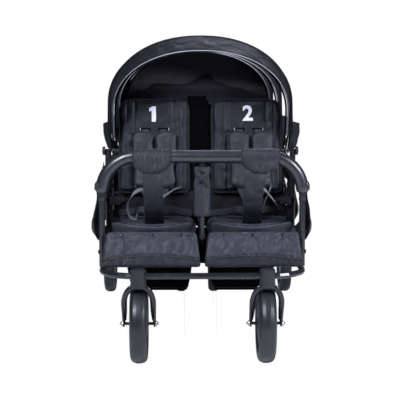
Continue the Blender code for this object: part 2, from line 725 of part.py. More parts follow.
def brake_pedal():
    """A cross rod in the hangers' ears, with a foot pedal and two shoes beside the inner wheels."""
    rod_y = REAR_AXLE_Y + BRAKE_AHEAD
    half = HANGER_X + HANGER_THICKNESS / 2 + BRAKE_ROD_PAST_HANGER
    rod = cylinder("brake_pedal", (0, rod_y, BRAKE_Z), (1, 0, 0), BRAKE_ROD_RADIUS, 2 * half, "tube")
    droop = Matrix.Rotation(radians(-PEDAL_DROOP), 4, "X")
    foot = block("foot", (-PEDAL_WIDTH / 2, 0, -PEDAL_THICKNESS / 2),
                 (PEDAL_WIDTH / 2, PEDAL_REACH, PEDAL_THICKNESS / 2), "plastic", CUTTERS)
    foot.data.transform(Matrix.Translation((0, rod_y, BRAKE_Z)) @ droop)
    join(rod, foot)
    to_wheel = Vector((0, -BRAKE_AHEAD, WHEEL_RADIUS - BRAKE_Z)).normalized()
    turn = Matrix.Rotation(radians(BRAKE_SHOE_ANGLE), 4, "X")
    for sign in SIDES.values():
        along = turn @ to_wheel
        base = Vector((sign * REAR_INNER_X, rod_y, BRAKE_Z))
        centre = base + along * BRAKE_SHOE_REACH / 2
        shoe = block("shoe", (-BRAKE_SHOE_WIDTH / 2, -BRAKE_SHOE_THICKNESS / 2, -BRAKE_SHOE_REACH / 2),
                     (BRAKE_SHOE_WIDTH / 2, BRAKE_SHOE_THICKNESS / 2, BRAKE_SHOE_REACH / 2), "plastic",
                     CUTTERS)
        align = Vector((0, 0, 1)).rotation_difference(along).to_matrix().to_4x4()
        shoe.data.transform(Matrix.Translation(centre) @ align)
        join(rod, shoe)
    set_origin(rod, (0, rod_y, BRAKE_Z))


# Soft pieces

def pad(name, size, crown, pinch, columns, lines, channels=(), depth=0.0, kind="cushion"):
    """A padded form about the origin: a cage with a crown, sides drawn in between its corners and channels.

    Its front face looks along +Z. Channels are the columns, from the middle, that are sewn down.
    """
    width, length, thick = size
    bm = bmesh.new()
    bmesh.ops.create_grid(bm, x_segments=columns, y_segments=lines, size=0.5)
    face_set = list(bm.faces)
    grown = bmesh.ops.extrude_face_region(bm, geom=face_set)
    top = [item for item in grown["geom"] if isinstance(item, bmesh.types.BMVert)]
    for vert in top:
        vert.co.z = 1
    for vert in bm.verts:
        across = vert.co.x * 2
        along = vert.co.y * 2
        upper = vert.co.z > 0.5
        swell = (1 - abs(across) ** 3) * (1 - abs(along) ** 3)
        x = across * (width / 2 - pinch * (1 - along ** 2))
        y = along * (length / 2 - pinch * (1 - across ** 2))
        z = thick / 2 if upper else -thick / 2
        if upper:
            z += crown * swell
            sewn = any(abs(abs(across) - line) < SEWN_WITHIN for line in channels)
            if sewn and abs(along) < 0.98:
                z -= depth
        vert.co = (x, y, z)
    obj = mesh_object(name, bm, kind, angle=60)
    softer = obj.modifiers.new("soft", "SUBSURF")
    softer.levels = 1
    softer.render_levels = 1
    return obj


def place_pad(obj, centre, turn_x):
    """Turn a pad about X and move it, in its mesh."""
    obj.data.transform(Matrix.Translation(centre) @ Matrix.Rotation(radians(turn_x), 4, "X"))
    return obj


def side_wall(row, sign):
    """Cloth sewn to a cushion's outer side: it passes over the seat tube and hangs outside the frame."""
    front = bar_y(row) + WALL_INSIDE_POST
    rear = post_y(row) - WALL_INSIDE_POST
    foot = CUSHION_BOTTOM_Z + WALL_FOOT_RISE
    bm = bmesh.new()
    lines = []
    for column in range(WALL_COLUMNS + 1):
        share = column / WALL_COLUMNS
        middle = sin(pi * share)
        top = WALL_FRONT_Z + (WALL_REAR_Z - WALL_FRONT_Z) * share - WALL_SAG * middle
        slack = WALL_END_SHARE + (1 - WALL_END_SHARE) * middle
        y = front + (rear - front) * share
        root_x = CUSHION_OUTER_X - WALL_IN_CUSHION
        line = [bm.verts.new((sign * root_x, y, foot))]
        for height, out in WALL_BULGE:
            x = FRAME_HALF_WIDTH + WALL_TOP_OUT + (out - WALL_TOP_OUT) * slack
            line.append(bm.verts.new((sign * x, y, foot + (top - foot) * height)))
        lines.append(line)
    for one, other in zip(lines, lines[1:]):
        for corner in range(len(one) - 1):
            bm.faces.new((one[corner], other[corner], other[corner + 1], one[corner + 1]))
    bmesh.ops.recalc_face_normals(bm, faces=list(bm.faces))
    wall = mesh_object("wall", bm, "cushion", CUTTERS)
    thick = wall.modifiers.new("cloth", "SOLIDIFY")
    thick.thickness = WALL_THICKNESS
    thick.offset = 0
    apply_modifiers(wall)
    return wall


def seat_cushions():
    """Seat cushions with the cloth walls that close the sides of the seats."""
    width = CUSHION_OUTER_X - CUSHION_INNER_X
    length = CUSHION_REAR - CUSHION_FRONT
    for row in ROWS:
        for side, sign in SIDES.items():
            name = "row{}_cushion_{}".format(row, side)
            cushion = pad(name, (width, length, CUSHION_THICKNESS), CUSHION_CROWN, CUSHION_PINCH, 3, 3)
            x = sign * (CUSHION_OUTER_X + CUSHION_INNER_X) / 2
            y = row_y(row) + (CUSHION_FRONT + CUSHION_REAR) / 2
            place_pad(cushion, (x, y, CUSHION_BOTTOM_Z + CUSHION_THICKNESS / 2), 0)
            apply_modifiers(cushion)
            join(cushion, side_wall(row, sign))


def back_pads():
    """Back pads with a centre panel between two sewn channels, leaning back on the hoop."""
    lean = radians(BACK_LEAN)
    top = (BACK_PAD_TOP_Z - HINGE_Z) / cos(lean)
    length = top - BACK_PAD_LOW
    size = (BACK_PAD_WIDTH, length, BACK_PAD_THICKNESS)
    for row in ROWS:
        hinge = hinge_point(row)
        for side, sign in SIDES.items():
            name = "row{}_back_pad_{}".format(row, side)
            back = pad(name, size, BACK_PAD_CROWN, BACK_PAD_PINCH, 6, 2, (2 / 3,), BACK_CHANNEL_DEPTH)
            along = BACK_PAD_LOW + length / 2
            ahead = HOOP_RADIUS + GAP + BACK_PAD_THICKNESS / 2
            centre = Vector((sign * BACK_PAD_X, hinge.y + along * sin(lean) - ahead * cos(lean),
                             HINGE_Z + along * cos(lean) + ahead * sin(lean)))
            place_pad(back, centre, 90 - BACK_LEAN)
            set_origin(back, (sign * BACK_PAD_X, hinge.y, hinge.z))


def calf_pads():
    """Padded calf rests that slope down and forward from the first row's seats."""
    top = Vector((0, FRONT_AXLE_Y + CALF_TOP_Y, CALF_TOP_Z))
    bottom = Vector((0, FRONT_AXLE_Y + CALF_BOTTOM_Y, CALF_BOTTOM_Z))
    slope = top - bottom
    tilt = Vector((0, 1, 0)).angle(slope) * 180 / pi
    size = (CALF_OUTER_X - CALF_INNER_X, slope.length, CALF_THICKNESS - CALF_CROWN)
    for side, sign in SIDES.items():
        calf = pad("calf_pad_" + side, size, CALF_CROWN, CALF_PINCH, 4, 2)
        centre = (top + bottom) / 2
        centre.x = sign * (CALF_OUTER_X + CALF_INNER_X) / 2
        place_pad(calf, centre, tilt)


def footwells():
    """Two open-topped trays in one hanging, joined and carried by straps at their rims."""
    for row in ROWS[1:]:
        rear = bar_y(row) - WELL_BEHIND_BAR
        front = rear - WELL_LENGTH
        strap_y = (front + rear) / 2
        strap_end = FRAME_HALF_WIDTH - RAIL_RADIUS - WELL_STRAP_OFF_RAIL
        name = "row{}_footwell".format(row)
        well = block(name, (-strap_end, strap_y - WELL_STRAP_WIDTH / 2, WELL_TOP_Z - WELL_WALL),
                     (strap_end, strap_y + WELL_STRAP_WIDTH / 2, WELL_TOP_Z), "hood")
        for sign in SIDES.values():
            join(well, tray("tray", sign, front, rear, 0))
        for sign in SIDES.values():
            cut(well, tray("hollow", sign, front, rear, WELL_WALL))


def tray(name, sign, front, rear, inset):
    """The outer or inner form of one footwell, drawn in towards its floor."""
    low_x = sign * (WELL_INNER_X if sign > 0 else WELL_OUTER_X)
    high_x = sign * (WELL_OUTER_X if sign > 0 else WELL_INNER_X)
    top = WELL_TOP_Z + (4 * CUT_MARGIN if inset else 0)
    form = block(name, (low_x + inset, front + inset, WELL_BOTTOM_Z + inset),
                 (high_x - inset, rear - inset, top), "hood", CUTTERS)
    middle = Vector(((low_x + high_x) / 2, (front + rear) / 2, 0))
    for vert in form.data.vertices:
        if vert.co.z < WELL_BOTTOM_Z + WELL_FLOOR_BAND:
            for axis in (0, 1):
                vert.co[axis] += WELL_TAPER if vert.co[axis] < middle[axis] else -WELL_TAPER
    return form


# Backs, bars and posts

def back_hoops():
    """A bent hoop behind two back pads, with an eye on each hinge pin."""
    lean = radians(BACK_LEAN)
    up = Vector((0, sin(lean), cos(lean)))
    for row in ROWS:
        hinge = hinge_point(row)
        base = Vector((0, hinge.y, HINGE_Z))
        side = Vector((HOOP_X, 0, 0))
        high = base + up * HOOP_HEIGHT
        corners = [base - side, high - side, high + side, base + side]
        name = "row{}_back_hoop".format(row)
        hoop = tube_mesh(name, rounded(corners, [HOOP_BEND] * 2, 3), HOOP_RADIUS, "tube")
        for sign in SIDES.values():
            centre = (sign * HOOP_X, hinge.y, HINGE_Z)
            eye = cylinder("eye", centre, (1, 0, 0), HINGE_EYE_RADIUS, 2 * HOOP_RADIUS, "tube", CUTTERS, 10)
            join(hoop, eye)
            bore = drill(centre, (1, 0, 0), HINGE_PIN_RADIUS + RUN_GAP, 4 * HOOP_RADIUS, 10)
            cut(hoop, bore)
        set_origin(hoop, hinge)


def bumper_bars():
    """Foam-covered bars whose end plugs sit in the drilled tops of the front posts."""
    side = FRAME_HALF_WIDTH
    for row in ROWS:
        y = bar_y(row)
        corners = [(-side, y, BAR_FOAM_END_Z), (-side, y, BAR_Z), (side, y, BAR_Z),
                   (side, y, BAR_FOAM_END_Z)]
        name = "row{}_bumper_bar".format(row)
        bar = tube_mesh(name, rounded(corners, [BAR_BEND] * 2, 5), BAR_FOAM_RADIUS, "foam", resolution=3)
        for sign in SIDES.values():
            x = sign * side
            collar_low = BAR_SOCKET_Z + GAP
            collar_top = BAR_FOAM_END_Z + BAR_COLLAR_IN_FOAM
            collar = cylinder("collar", (x, y, (collar_low + collar_top) / 2), (0, 0, 1), BAR_COLLAR_RADIUS,
                              collar_top - collar_low, "foam", CUTTERS, 8)
            plug_low = BAR_SOCKET_Z - BAR_PLUG_LENGTH
            plug = cylinder("plug", (x, y, (plug_low + collar_top) / 2), (0, 0, 1), BAR_PLUG_RADIUS,
                            collar_top - plug_low, "foam", CUTTERS, 8)
            button_x = x + sign * (BAR_FOAM_RADIUS + BAR_BUTTON_PROUD) / 2
            button_z = BAR_FOAM_END_Z + BAR_BUTTON_RADIUS + BAR_BUTTON_RISE
            button = cylinder("button", (button_x, y, button_z), (1, 0, 0),
                              BAR_BUTTON_RADIUS, BAR_FOAM_RADIUS + BAR_BUTTON_PROUD, "foam", CUTTERS, 8)
            join(bar, collar, plug, button)
        set_origin(bar, (0, y, BAR_Z))


def centre_posts():
    """A post from the seat tube up to the middle of each bar, in a flat padded sleeve."""
    for row in ROWS:
        y = bar_y(row)
        foot = Vector((0, y + SEAT_TUBE_BOW, SEAT_TUBE_Z))
        top = BAR_Z - BAR_FOAM_RADIUS - GAP
        knee = foot + Vector((0, 0, CENTRE_POST_FOOT_RISE))
        corners = [foot, knee, (0, y, CENTRE_POST_BEND_Z), (0, y, top)]
        name = "row{}_centre_post".format(row)
        line = rounded(corners, [CENTRE_POST_FOOT_BEND, CENTRE_POST_BEND], 3)
        post = tube_mesh(name, line, CENTRE_POST_RADIUS, "tube")
        sleeve = cylinder("sleeve", (0, 0, 0), (0, 0, 1), SLEEVE_HALF_WIDTH, SLEEVE_TOP_Z - SLEEVE_BOTTOM_Z,
                          "sleeve", CUTTERS)
        sleeve.data.transform(Matrix.Scale(SLEEVE_HALF_DEPTH / SLEEVE_HALF_WIDTH, 4, (0, 1, 0)))
        sleeve.data.transform(Matrix.Translation((0, y, (SLEEVE_BOTTOM_Z + SLEEVE_TOP_Z) / 2)))
        join(post, sleeve)
        reach = 4 * CENTRE_POST_RADIUS
        seat_tube = drill(foot, (1, 0, 0), POST_RADIUS + GAP, 2 * reach)
        cut(post, seat_tube)
        low = (-reach, foot.y - reach, SEAT_TUBE_Z - reach)
        bottom = block("below", low, (reach, foot.y + reach, SEAT_TUBE_Z), "tube", CUTTERS)
        cut(post, bottom)


# Hoods

def arch(radius, half_width, low, steps=5):
    """Half of a bow's outline as (x, r): a straight side, then a quarter of an ellipse."""
    spring = radius - HOOD_ARCH
    if low < spring:
        points = [(half_width, low)]
        first = 0.0
    else:
        points = []
        first = asin((low - spring) / HOOD_ARCH)
    for step in range(steps + 1):
        angle = first + (pi / 2 - first) * step / steps
        points.append((half_width * cos(angle), spring + HOOD_ARCH * sin(angle)))
    return points


def whole_arch(radius, half_width, low):
    half = arch(radius, half_width, low)
    return half + [(-x, r) for x, r in reversed(half[:-1])]


def on_hood(pivot, x, r, degrees):
    """A point at a radius and an angle ahead of the vertical about the hood's cross axis."""
    return Vector((x, pivot.y - r * sin(radians(degrees)), pivot.z + r * cos(radians(degrees))))


def add_eyes(bow, pivot, eye_x):
    """Drilled eyes at a bow's two ends, on the hood pins."""
    for sign in SIDES.values():
        centre = (sign * eye_x, pivot.y, pivot.z)
        eye = cylinder("eye", centre, (1, 0, 0), BOW_EYE_RADIUS, BOW_EYE_THICKNESS, "tube", CUTTERS, 10)
        join(bow, eye)
        bore = drill(centre, (1, 0, 0), HOOD_PIN_RADIUS + RUN_GAP, 3 * BOW_EYE_THICKNESS, 10)
        cut(bow, bore)
    return bow


def mid_bow(name, pivot, radius, half_width, eye_x):
    """A wire bow from eye to eye over the seats."""
    outline = [(eye_x, 0)] + whole_arch(radius, half_width, HOOD_LOW_RADIUS) + [(-eye_x, 0)]
    points = [on_hood(pivot, x, r, HOOD_MID_ANGLE) for x, r in outline]
    bow = tube_mesh(name, points, BOW_RADIUS, "tube", resolution=1)
    return add_eyes(bow, pivot, eye_x)


def cloth_hood(name, pivot, radius, half_width, angles, bow_angle, eye_x):
    """A cloth panel with its bow sewn into one edge, of which the two ends show below the cloth."""
    hood = hood_panel(name, pivot, radius, half_width, *angles)
    for sign in SIDES.values():
        line = [on_hood(pivot, sign * eye_x, 0, bow_angle),
                on_hood(pivot, sign * half_width, HOOD_LOW_RADIUS, bow_angle),
                on_hood(pivot, sign * half_width, HOOD_LOW_RADIUS + BOW_TUCK, bow_angle)]
        join(hood, tube_mesh("bow_end", line, BOW_RADIUS, "hood", CUTTERS, resolution=1))
    return add_eyes(hood, pivot, eye_x)


def hood_panel(name, pivot, radius, half_width, angle_low, angle_high, steps=2):
    """The cloth between two bows: an open turned sheet given a thickness."""
    outline = whole_arch(radius, half_width, HOOD_LOW_RADIUS)
    bm = bmesh.new()
    verts = [bm.verts.new(on_hood(pivot, x, r, angle_low)) for x, r in outline]
    edges = [bm.edges.new(pair) for pair in zip(verts, verts[1:])]
    bmesh.ops.spin(bm, geom=verts + edges, axis=(1, 0, 0), cent=pivot,
                   angle=radians(angle_high - angle_low), steps=steps)
    sheet = mesh_object(name, bm, "hood")
    thick = sheet.modifiers.new("cloth", "SOLIDIFY")
    thick.thickness = HOOD_CLOTH
    thick.offset = 0
    apply_modifiers(sheet)
    return sheet


def hood_curtain(pivot, radius, half_width, degrees):
    """The flat rear cloth that closes the last hood, in the plane of its rear bow."""
    outline = whole_arch(radius, half_width, HOOD_CURTAIN_LOW)
    bm = bmesh.new()
    ahead = Vector((0, -cos(radians(degrees)), -sin(radians(degrees)))) * HOOD_CLOTH
    verts = [bm.verts.new(on_hood(pivot, x, r, degrees) + ahead / 4) for x, r in outline]
    face = bm.faces.new(verts)
    grown = bmesh.ops.extrude_face_region(bm, geom=[face])
    moved = [item for item in grown["geom"] if isinstance(item, bmesh.types.BMVert)]
    bmesh.ops.translate(bm, verts=moved, vec=ahead)
    return mesh_object("curtain", bm, "hood", CUTTERS)


def back_drape(pivot, hinge, degrees):
    """The cloth hung from the curtain behind the last seats: back from their tops and up from the pivot."""
    angle = radians(degrees)
    middle = Vector((0, -cos(angle), -sin(angle))) * HOOD_CLOTH * 0.75
    line = [on_hood(pivot, 0, HOOD_CURTAIN_LOW + DRAPE_LAP, degrees) + middle]
    seat_top_y = hinge.y + (BACK_PAD_TOP_Z - HINGE_Z) * tan(radians(BACK_LEAN))
    for back, up in DRAPE_FALL:
        line.append(Vector((0, seat_top_y + back, pivot.z + up)))
    side = Vector((DRAPE_HALF_WIDTH, 0, 0))
    bm = bmesh.new()
    edge_pairs = [(bm.verts.new(point - side), bm.verts.new(point + side)) for point in line]
    for upper, lower in zip(edge_pairs, edge_pairs[1:]):
        bm.faces.new((upper[0], upper[1], lower[1], lower[0]))
    bmesh.ops.recalc_face_normals(bm, faces=list(bm.faces))
    drape = mesh_object("drape", bm, "hood", CUTTERS)
    thick = drape.modifiers.new("cloth", "SOLIDIFY")
    thick.thickness = HOOD_CLOTH
    thick.offset = 0
    apply_modifiers(drape)
    return drape


def hoods():
    """A fixed rear hood, a mid bow and a front hood for each row, one inside the other."""
    mid_radius = HOOD_REAR_RADIUS - HOOD_STEP_RADIUS
    front_radius = mid_radius - HOOD_STEP_RADIUS
    mid_half = HOOD_REAR_HALF_WIDTH - HOOD_STEP_WIDTH
    front_half = mid_half - HOOD_STEP_WIDTH
    for row in ROWS:
        pivot = hood_pivot(row)
        eye_x = BOW_EYE_OUTER_X
        rear = cloth_hood("row{}_hood_rear".format(row), pivot, HOOD_REAR_RADIUS, HOOD_REAR_HALF_WIDTH,
                          (HOOD_REAR_ANGLE, HOOD_MID_ANGLE), HOOD_REAR_ANGLE, eye_x)
        if row == ROWS[-1]:
            curtain = hood_curtain(pivot, HOOD_REAR_RADIUS, HOOD_REAR_HALF_WIDTH, HOOD_REAR_ANGLE)
            join(rear, curtain, back_drape(pivot, hinge_point(row), HOOD_REAR_ANGLE))
        mid = mid_bow("row{}_hood_mid_bow".format(row), pivot, mid_radius, mid_half, eye_x - BOW_EYE_SPACING)
        front = cloth_hood("row{}_hood_front".format(row), pivot, front_radius, front_half,
                           (HOOD_MID_ANGLE, HOOD_FRONT_ANGLE), HOOD_FRONT_ANGLE, eye_x - 2 * BOW_EYE_SPACING)
        set_origin(mid, pivot)
        set_origin(front, pivot)


# Push handle

def handle_frame():
    """Uprights from the rails' rear ends, with the hinge pins of the push handle."""
    side = FRAME_HALF_WIDTH
    foot_y = UPRIGHT_FOOT_Y
    low = RAIL_Z + HANDLE_CROSS_RISE
    lean = (HANDLE_HINGE.y - foot_y) / (HANDLE_HINGE_Z - RAIL_Z)
    cross_y = foot_y + (low - RAIL_Z) * lean
    frame = cylinder("handle_frame", (0, cross_y, low), (1, 0, 0), POST_RADIUS, 2 * side, "tube")
    for sign in SIDES.values():
        line = [Vector((sign * side, foot_y, RAIL_Z)), Vector((sign * side, HANDLE_HINGE.y, HANDLE_HINGE_Z))]
        upright = tube_mesh("upright", line, UPRIGHT_RADIUS, "tube", CUTTERS)
        hub = cylinder("hub", (sign * side, HANDLE_HINGE.y, HANDLE_HINGE_Z), (1, 0, 0), HANDLE_HUB_RADIUS,
                       HANDLE_HUB_THICKNESS, "tube", CUTTERS)
        inner = HANDLE_X - HANDLE_HUB_THICKNESS / 2
        pin = cylinder("pin", (sign * (inner + side) / 2, HANDLE_HINGE.y, HANDLE_HINGE_Z), (1, 0, 0),
                       HANDLE_PIN_RADIUS, side - inner, "tube", CUTTERS)
        join(frame, upright, hub, pin)
        cut(frame, rail_cutter(sign, GAP))


def push_handle():
    """A U-shaped handle on the two hinge pins, with a foam grip on its crossing."""
    arm = GRIP_CENTRE - HANDLE_HINGE
    side = Vector((HANDLE_X, 0, 0))
    corners = [HANDLE_HINGE - side, HANDLE_HINGE + arm - side, HANDLE_HINGE + arm + side,
               HANDLE_HINGE + side]
    handle = tube_mesh("push_handle", rounded(corners, [HANDLE_BEND] * 2, 4), HANDLE_RADIUS, "tube")
    for sign in SIDES.values():
        centre = HANDLE_HINGE + side * sign
        hub = cylinder("hub", centre, (1, 0, 0), HANDLE_HUB_RADIUS, HANDLE_HUB_THICKNESS, "tube", CUTTERS)
        join(handle, hub)
        bore = drill(centre, (1, 0, 0), HANDLE_PIN_RADIUS + RUN_GAP, 3 * HANDLE_HUB_THICKNESS)
        cut(handle, bore)
    set_origin(handle, HANDLE_HINGE)
    grip = cylinder("handle_grip", GRIP_CENTRE, (1, 0, 0), GRIP_RADIUS, 2 * GRIP_HALF_LENGTH, "foam")
    bore = drill(GRIP_CENTRE, (1, 0, 0), HANDLE_RADIUS + GAP, 3 * GRIP_HALF_LENGTH)
    cut(grip, bore)
    set_origin(grip, HANDLE_HINGE)


front_wheels()
rear_wheels()
front_tube()
side_rails()
row_front_frames()
row_rear_frames()
caster_housings()
forks()
rear_axle()
brake_pedal()
seat_cushions()
back_pads()
calf_pads()
footwells()
back_hoops()
bumper_bars()
centre_posts()
hoods()
handle_frame()
push_handle()
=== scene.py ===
from math import atan2, cos, exp, pi, radians, sin, sqrt, tan

import bmesh
import bpy
from mathutils import Matrix, Vector, noise


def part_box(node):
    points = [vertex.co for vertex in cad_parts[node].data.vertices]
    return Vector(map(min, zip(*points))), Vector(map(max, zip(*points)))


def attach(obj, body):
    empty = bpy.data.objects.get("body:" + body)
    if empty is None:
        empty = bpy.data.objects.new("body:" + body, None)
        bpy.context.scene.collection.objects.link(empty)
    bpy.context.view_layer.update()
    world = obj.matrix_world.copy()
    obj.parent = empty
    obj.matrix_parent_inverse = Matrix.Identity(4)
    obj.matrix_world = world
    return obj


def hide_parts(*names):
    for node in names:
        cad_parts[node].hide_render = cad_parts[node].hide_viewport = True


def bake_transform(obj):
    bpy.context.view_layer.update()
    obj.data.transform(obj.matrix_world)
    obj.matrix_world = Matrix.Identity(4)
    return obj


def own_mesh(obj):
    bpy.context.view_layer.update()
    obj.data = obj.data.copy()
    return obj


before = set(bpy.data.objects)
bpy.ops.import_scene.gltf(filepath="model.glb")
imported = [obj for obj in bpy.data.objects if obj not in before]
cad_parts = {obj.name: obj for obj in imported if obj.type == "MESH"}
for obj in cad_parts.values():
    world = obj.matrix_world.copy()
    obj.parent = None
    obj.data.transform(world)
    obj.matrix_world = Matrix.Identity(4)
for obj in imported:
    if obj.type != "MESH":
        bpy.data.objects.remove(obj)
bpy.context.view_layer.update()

SCENE = bpy.context.scene

# Layout of the frame, in metres
FRONT_AXLE = -0.7155
SWIVEL = FRONT_AXLE - 0.06
REAR_AXLE = FRONT_AXLE + 1.15
ROWS = (1, 2, 3)
ROW_PITCH = 0.43
SIDES = {"left": -1, "right": 1}
WAYS = ((-1, "a"), (1, "b"))
WHEEL_R = 0.125
CASTER_X = 0.20
LEAN = radians(12)
SEAT_X = 0.156
CUSHION_TOP = 0.420
BAR_X = 0.318
BAR_Z = 0.648
FOAM_R = 0.0205
RAIL_Z = 0.345
HINGE_Z = 0.47
PIVOT_Z = 0.64
CLOTH = 0.0014
HEAVY_CLOTH = 0.0016


def row_y(row):
    """The front plane of a row."""
    return FRONT_AXLE + 0.02 + (row - 1) * ROW_PITCH


def bar_y(row):
    return row_y(row) + 0.04


def hinge(row):
    return Vector((0, row_y(row) + 0.37, HINGE_Z))


def pivot(row):
    return Vector((0, row_y(row) + 0.385, PIVOT_Z))


# Shaping functions

def clamp(value):
    return min(1, max(0, value))


def ease(value):
    """A smooth step from 0 to 1."""
    value = clamp(value)
    return value * value * (3 - 2 * value)


def dent(distance, width):
    """A smooth bump of height 1 at no distance."""
    return exp(-(distance / width) ** 2)


def dome(share):
    """The height of a quarter circle over its share."""
    return sqrt(max(0.0, 1 - (1 - min(share, 1)) ** 2))


def grain(*at):
    """Smooth noise at a point."""
    return noise.noise(Vector(at))


def wobble(point, size, amount, seed=0.0):
    """A smooth, repeatable shift of a point."""
    p = Vector(point) * (1 / size) + Vector((seed * 3.1, seed * 1.7, -seed * 2.3))
    return Vector([noise.noise(p + Vector(off)) for off in ((0, 0, 0), (7, 3, 1), (2, 9, 5))]) * amount


# Materials

def add_node(tree, kind, values=None, **settings):
    """A shader node whose sockets are set, or linked where the value is a socket."""
    node = tree.nodes.new("ShaderNode" + kind)
    for key, value in settings.items():
        setattr(node, key, value)
    for socket, value in (values or {}).items():
        if isinstance(value, bpy.types.NodeSocket):
            tree.links.new(value, node.inputs[socket])
        else:
            node.inputs[socket].default_value = value
    return node


class Paint:
    """One material: a base colour with variation, a roughness range and stacked bumps."""

    def __init__(self, name, colour, rough, metallic=0.0, sheen=0.0, coat=0.0, specular=0.5):
        self.mat = bpy.data.materials.new(name)
        self.mat.use_nodes = True
        self.tree = self.mat.node_tree
        self.sockets = self.tree.nodes["Principled BSDF"].inputs
        for socket, value in (("Base Color", (*colour, 1)), ("Roughness", rough), ("Metallic", metallic),
                              ("Sheen Weight", sheen), ("Sheen Roughness", 0.5), ("Coat Weight", coat),
                              ("Specular IOR Level", specular)):
            self.sockets[socket].default_value = value
        self.coords = add_node(self.tree, "TexCoord").outputs["Object"]
        self.colour = colour
        self.last_bump = None

    def mapped(self, scale=(1, 1, 1), turn=(0, 0, 0)):
        values = {"Scale": scale, "Rotation": turn, "Vector": self.coords}
        return add_node(self.tree, "Mapping", values).outputs["Vector"]

    def noise(self, scale, detail=3.0, stretch=(1, 1, 1), rough=0.55, distortion=0.0, **settings):
        values = {"Scale": scale, "Detail": detail, "Roughness": rough, "Distortion": distortion,
                  "Vector": self.mapped(stretch)}
        return add_node(self.tree, "TexNoise", values, **settings).outputs["Fac"]

    def wave(self, scale, turn=(0, 0, 0)):
        values = {"Scale": scale, "Distortion": 0.4, "Detail": 1.0, "Vector": self.mapped(turn=turn)}
        node = add_node(self.tree, "TexWave", values, wave_type="BANDS", bands_direction="DIAGONAL")
        return node.outputs["Fac"]

    def pores(self, scale):
        values = {"Scale": scale, "Vector": self.mapped()}
        return add_node(self.tree, "TexVoronoi", values).outputs["Distance"]

    def spread(self, pattern, low, high):
        values = {"From Min": 0.3, "From Max": 0.7, "To Min": low, "To Max": high, "Value": pattern}
        return add_node(self.tree, "MapRange", values).outputs["Result"]

    def vary(self, *amounts):
        """Base colour times several patterns, each as (pattern, darkest, lightest)."""
        now = (*self.colour, 1)
        for amount in amounts:
            values = {0: 1.0, 6: now, 7: self.spread(*amount)}
            now = add_node(self.tree, "Mix", values, data_type="RGBA", blend_type="MULTIPLY").outputs[2]
        self.tree.links.new(now, self.sockets["Base Color"])

    def roughness(self, pattern, low, high):
        self.tree.links.new(self.spread(pattern, low, high), self.sockets["Roughness"])

    def bump(self, height, distance, strength):
        values = {"Distance": distance, "Strength": strength, "Height": height}
        if self.last_bump:
            values["Normal"] = self.last_bump
        self.last_bump = add_node(self.tree, "Bump", values).outputs["Normal"]
        self.tree.links.new(self.last_bump, self.sockets["Normal"])


def cloth_paint(name, colour, rough=0.62, sheen=0.06, thread=190, wrinkle=0.0022, melange=0.16,
                specular=0.5):
    """A woven polyester: two crossing sets of threads, mottling, and soft wrinkles."""
    paint = Paint(name, colour, rough, sheen=sheen, specular=specular)
    warp, weft = paint.wave(thread), paint.wave(thread, (0, 0, pi / 2))
    paint.vary((paint.noise(650, 2), 1 - melange, 1 + melange), (paint.noise(7, 4), 0.86, 1.14),
               (warp, 0.93, 1.05))
    paint.roughness(paint.noise(24, 3), rough - 0.07, rough + 0.08)
    if wrinkle:
        creases = paint.noise(11, 2, (1, 1, 0.7), 0.5, 0.8, noise_type="RIDGED_MULTIFRACTAL",
                              normalize=True)
        paint.bump(paint.noise(13, 4, (1, 1, 0.45), 0.5, 0.7), wrinkle * 5, 0.6)
        paint.bump(creases, wrinkle * 2.2, 0.7)
        paint.bump(paint.noise(46, 3, (0.6, 1, 1), 0.5, 0.5), wrinkle * 1.1, 0.5)
    paint.bump(warp, 0.0004, 0.5)
    paint.bump(weft, 0.0004, 0.5)
    return paint.mat


def hard_paint(name, colour, rough, tints, gloss, grit, **more):
    """Noise alone, as (scale, detail, two amounts): tints of the colour, the gloss and the grit."""
    paint = Paint(name, colour, rough, **more)
    paint.vary(*[(paint.noise(*tint[:2]), *tint[2:]) for tint in tints])
    paint.roughness(paint.noise(*gloss[:2]), *gloss[2:])
    paint.bump(paint.noise(*grit[:2]), *grit[2:])
    return paint.mat


def plastic_paint(name, colour, rough=0.42):
    return hard_paint(name, colour, rough, [(12, 4, 0.86, 1.16)], (60, 4, rough - 0.06, rough + 0.08),
                      (1400, 2, 0.0002, 0.45))


def metal_paint(name, colour, rough=0.22):
    return hard_paint(name, colour, rough, [(80, 3, 0.88, 1.08)], (200, 3, rough - 0.05, rough + 0.1),
                      (700, 2, 0.0001, 0.4), metallic=1.0)


def foam_paint():
    """Closed-cell foam: a matt skin of small pores."""
    paint = Paint("foam_skin", (0.0085, 0.0085, 0.0115), 0.36, specular=1.0)
    paint.vary((paint.noise(16, 4), 0.85, 1.18), (paint.pores(700), 0.86, 1.08))
    paint.roughness(paint.noise(40, 3), 0.29, 0.38)
    paint.bump(paint.pores(900), 0.0002, 0.25)
    paint.bump(paint.noise(40, 3), 0.0012, 0.3)
    return paint.mat


def print_paint():
    """White screen print, slightly broken by the weave under it."""
    paint = Paint("white_print", (0.78, 0.78, 0.82), 0.6)
    paint.vary((paint.noise(600, 2), 0.93, 1.04))
    paint.bump(paint.wave(190), 0.0003, 0.4)
    return paint.mat


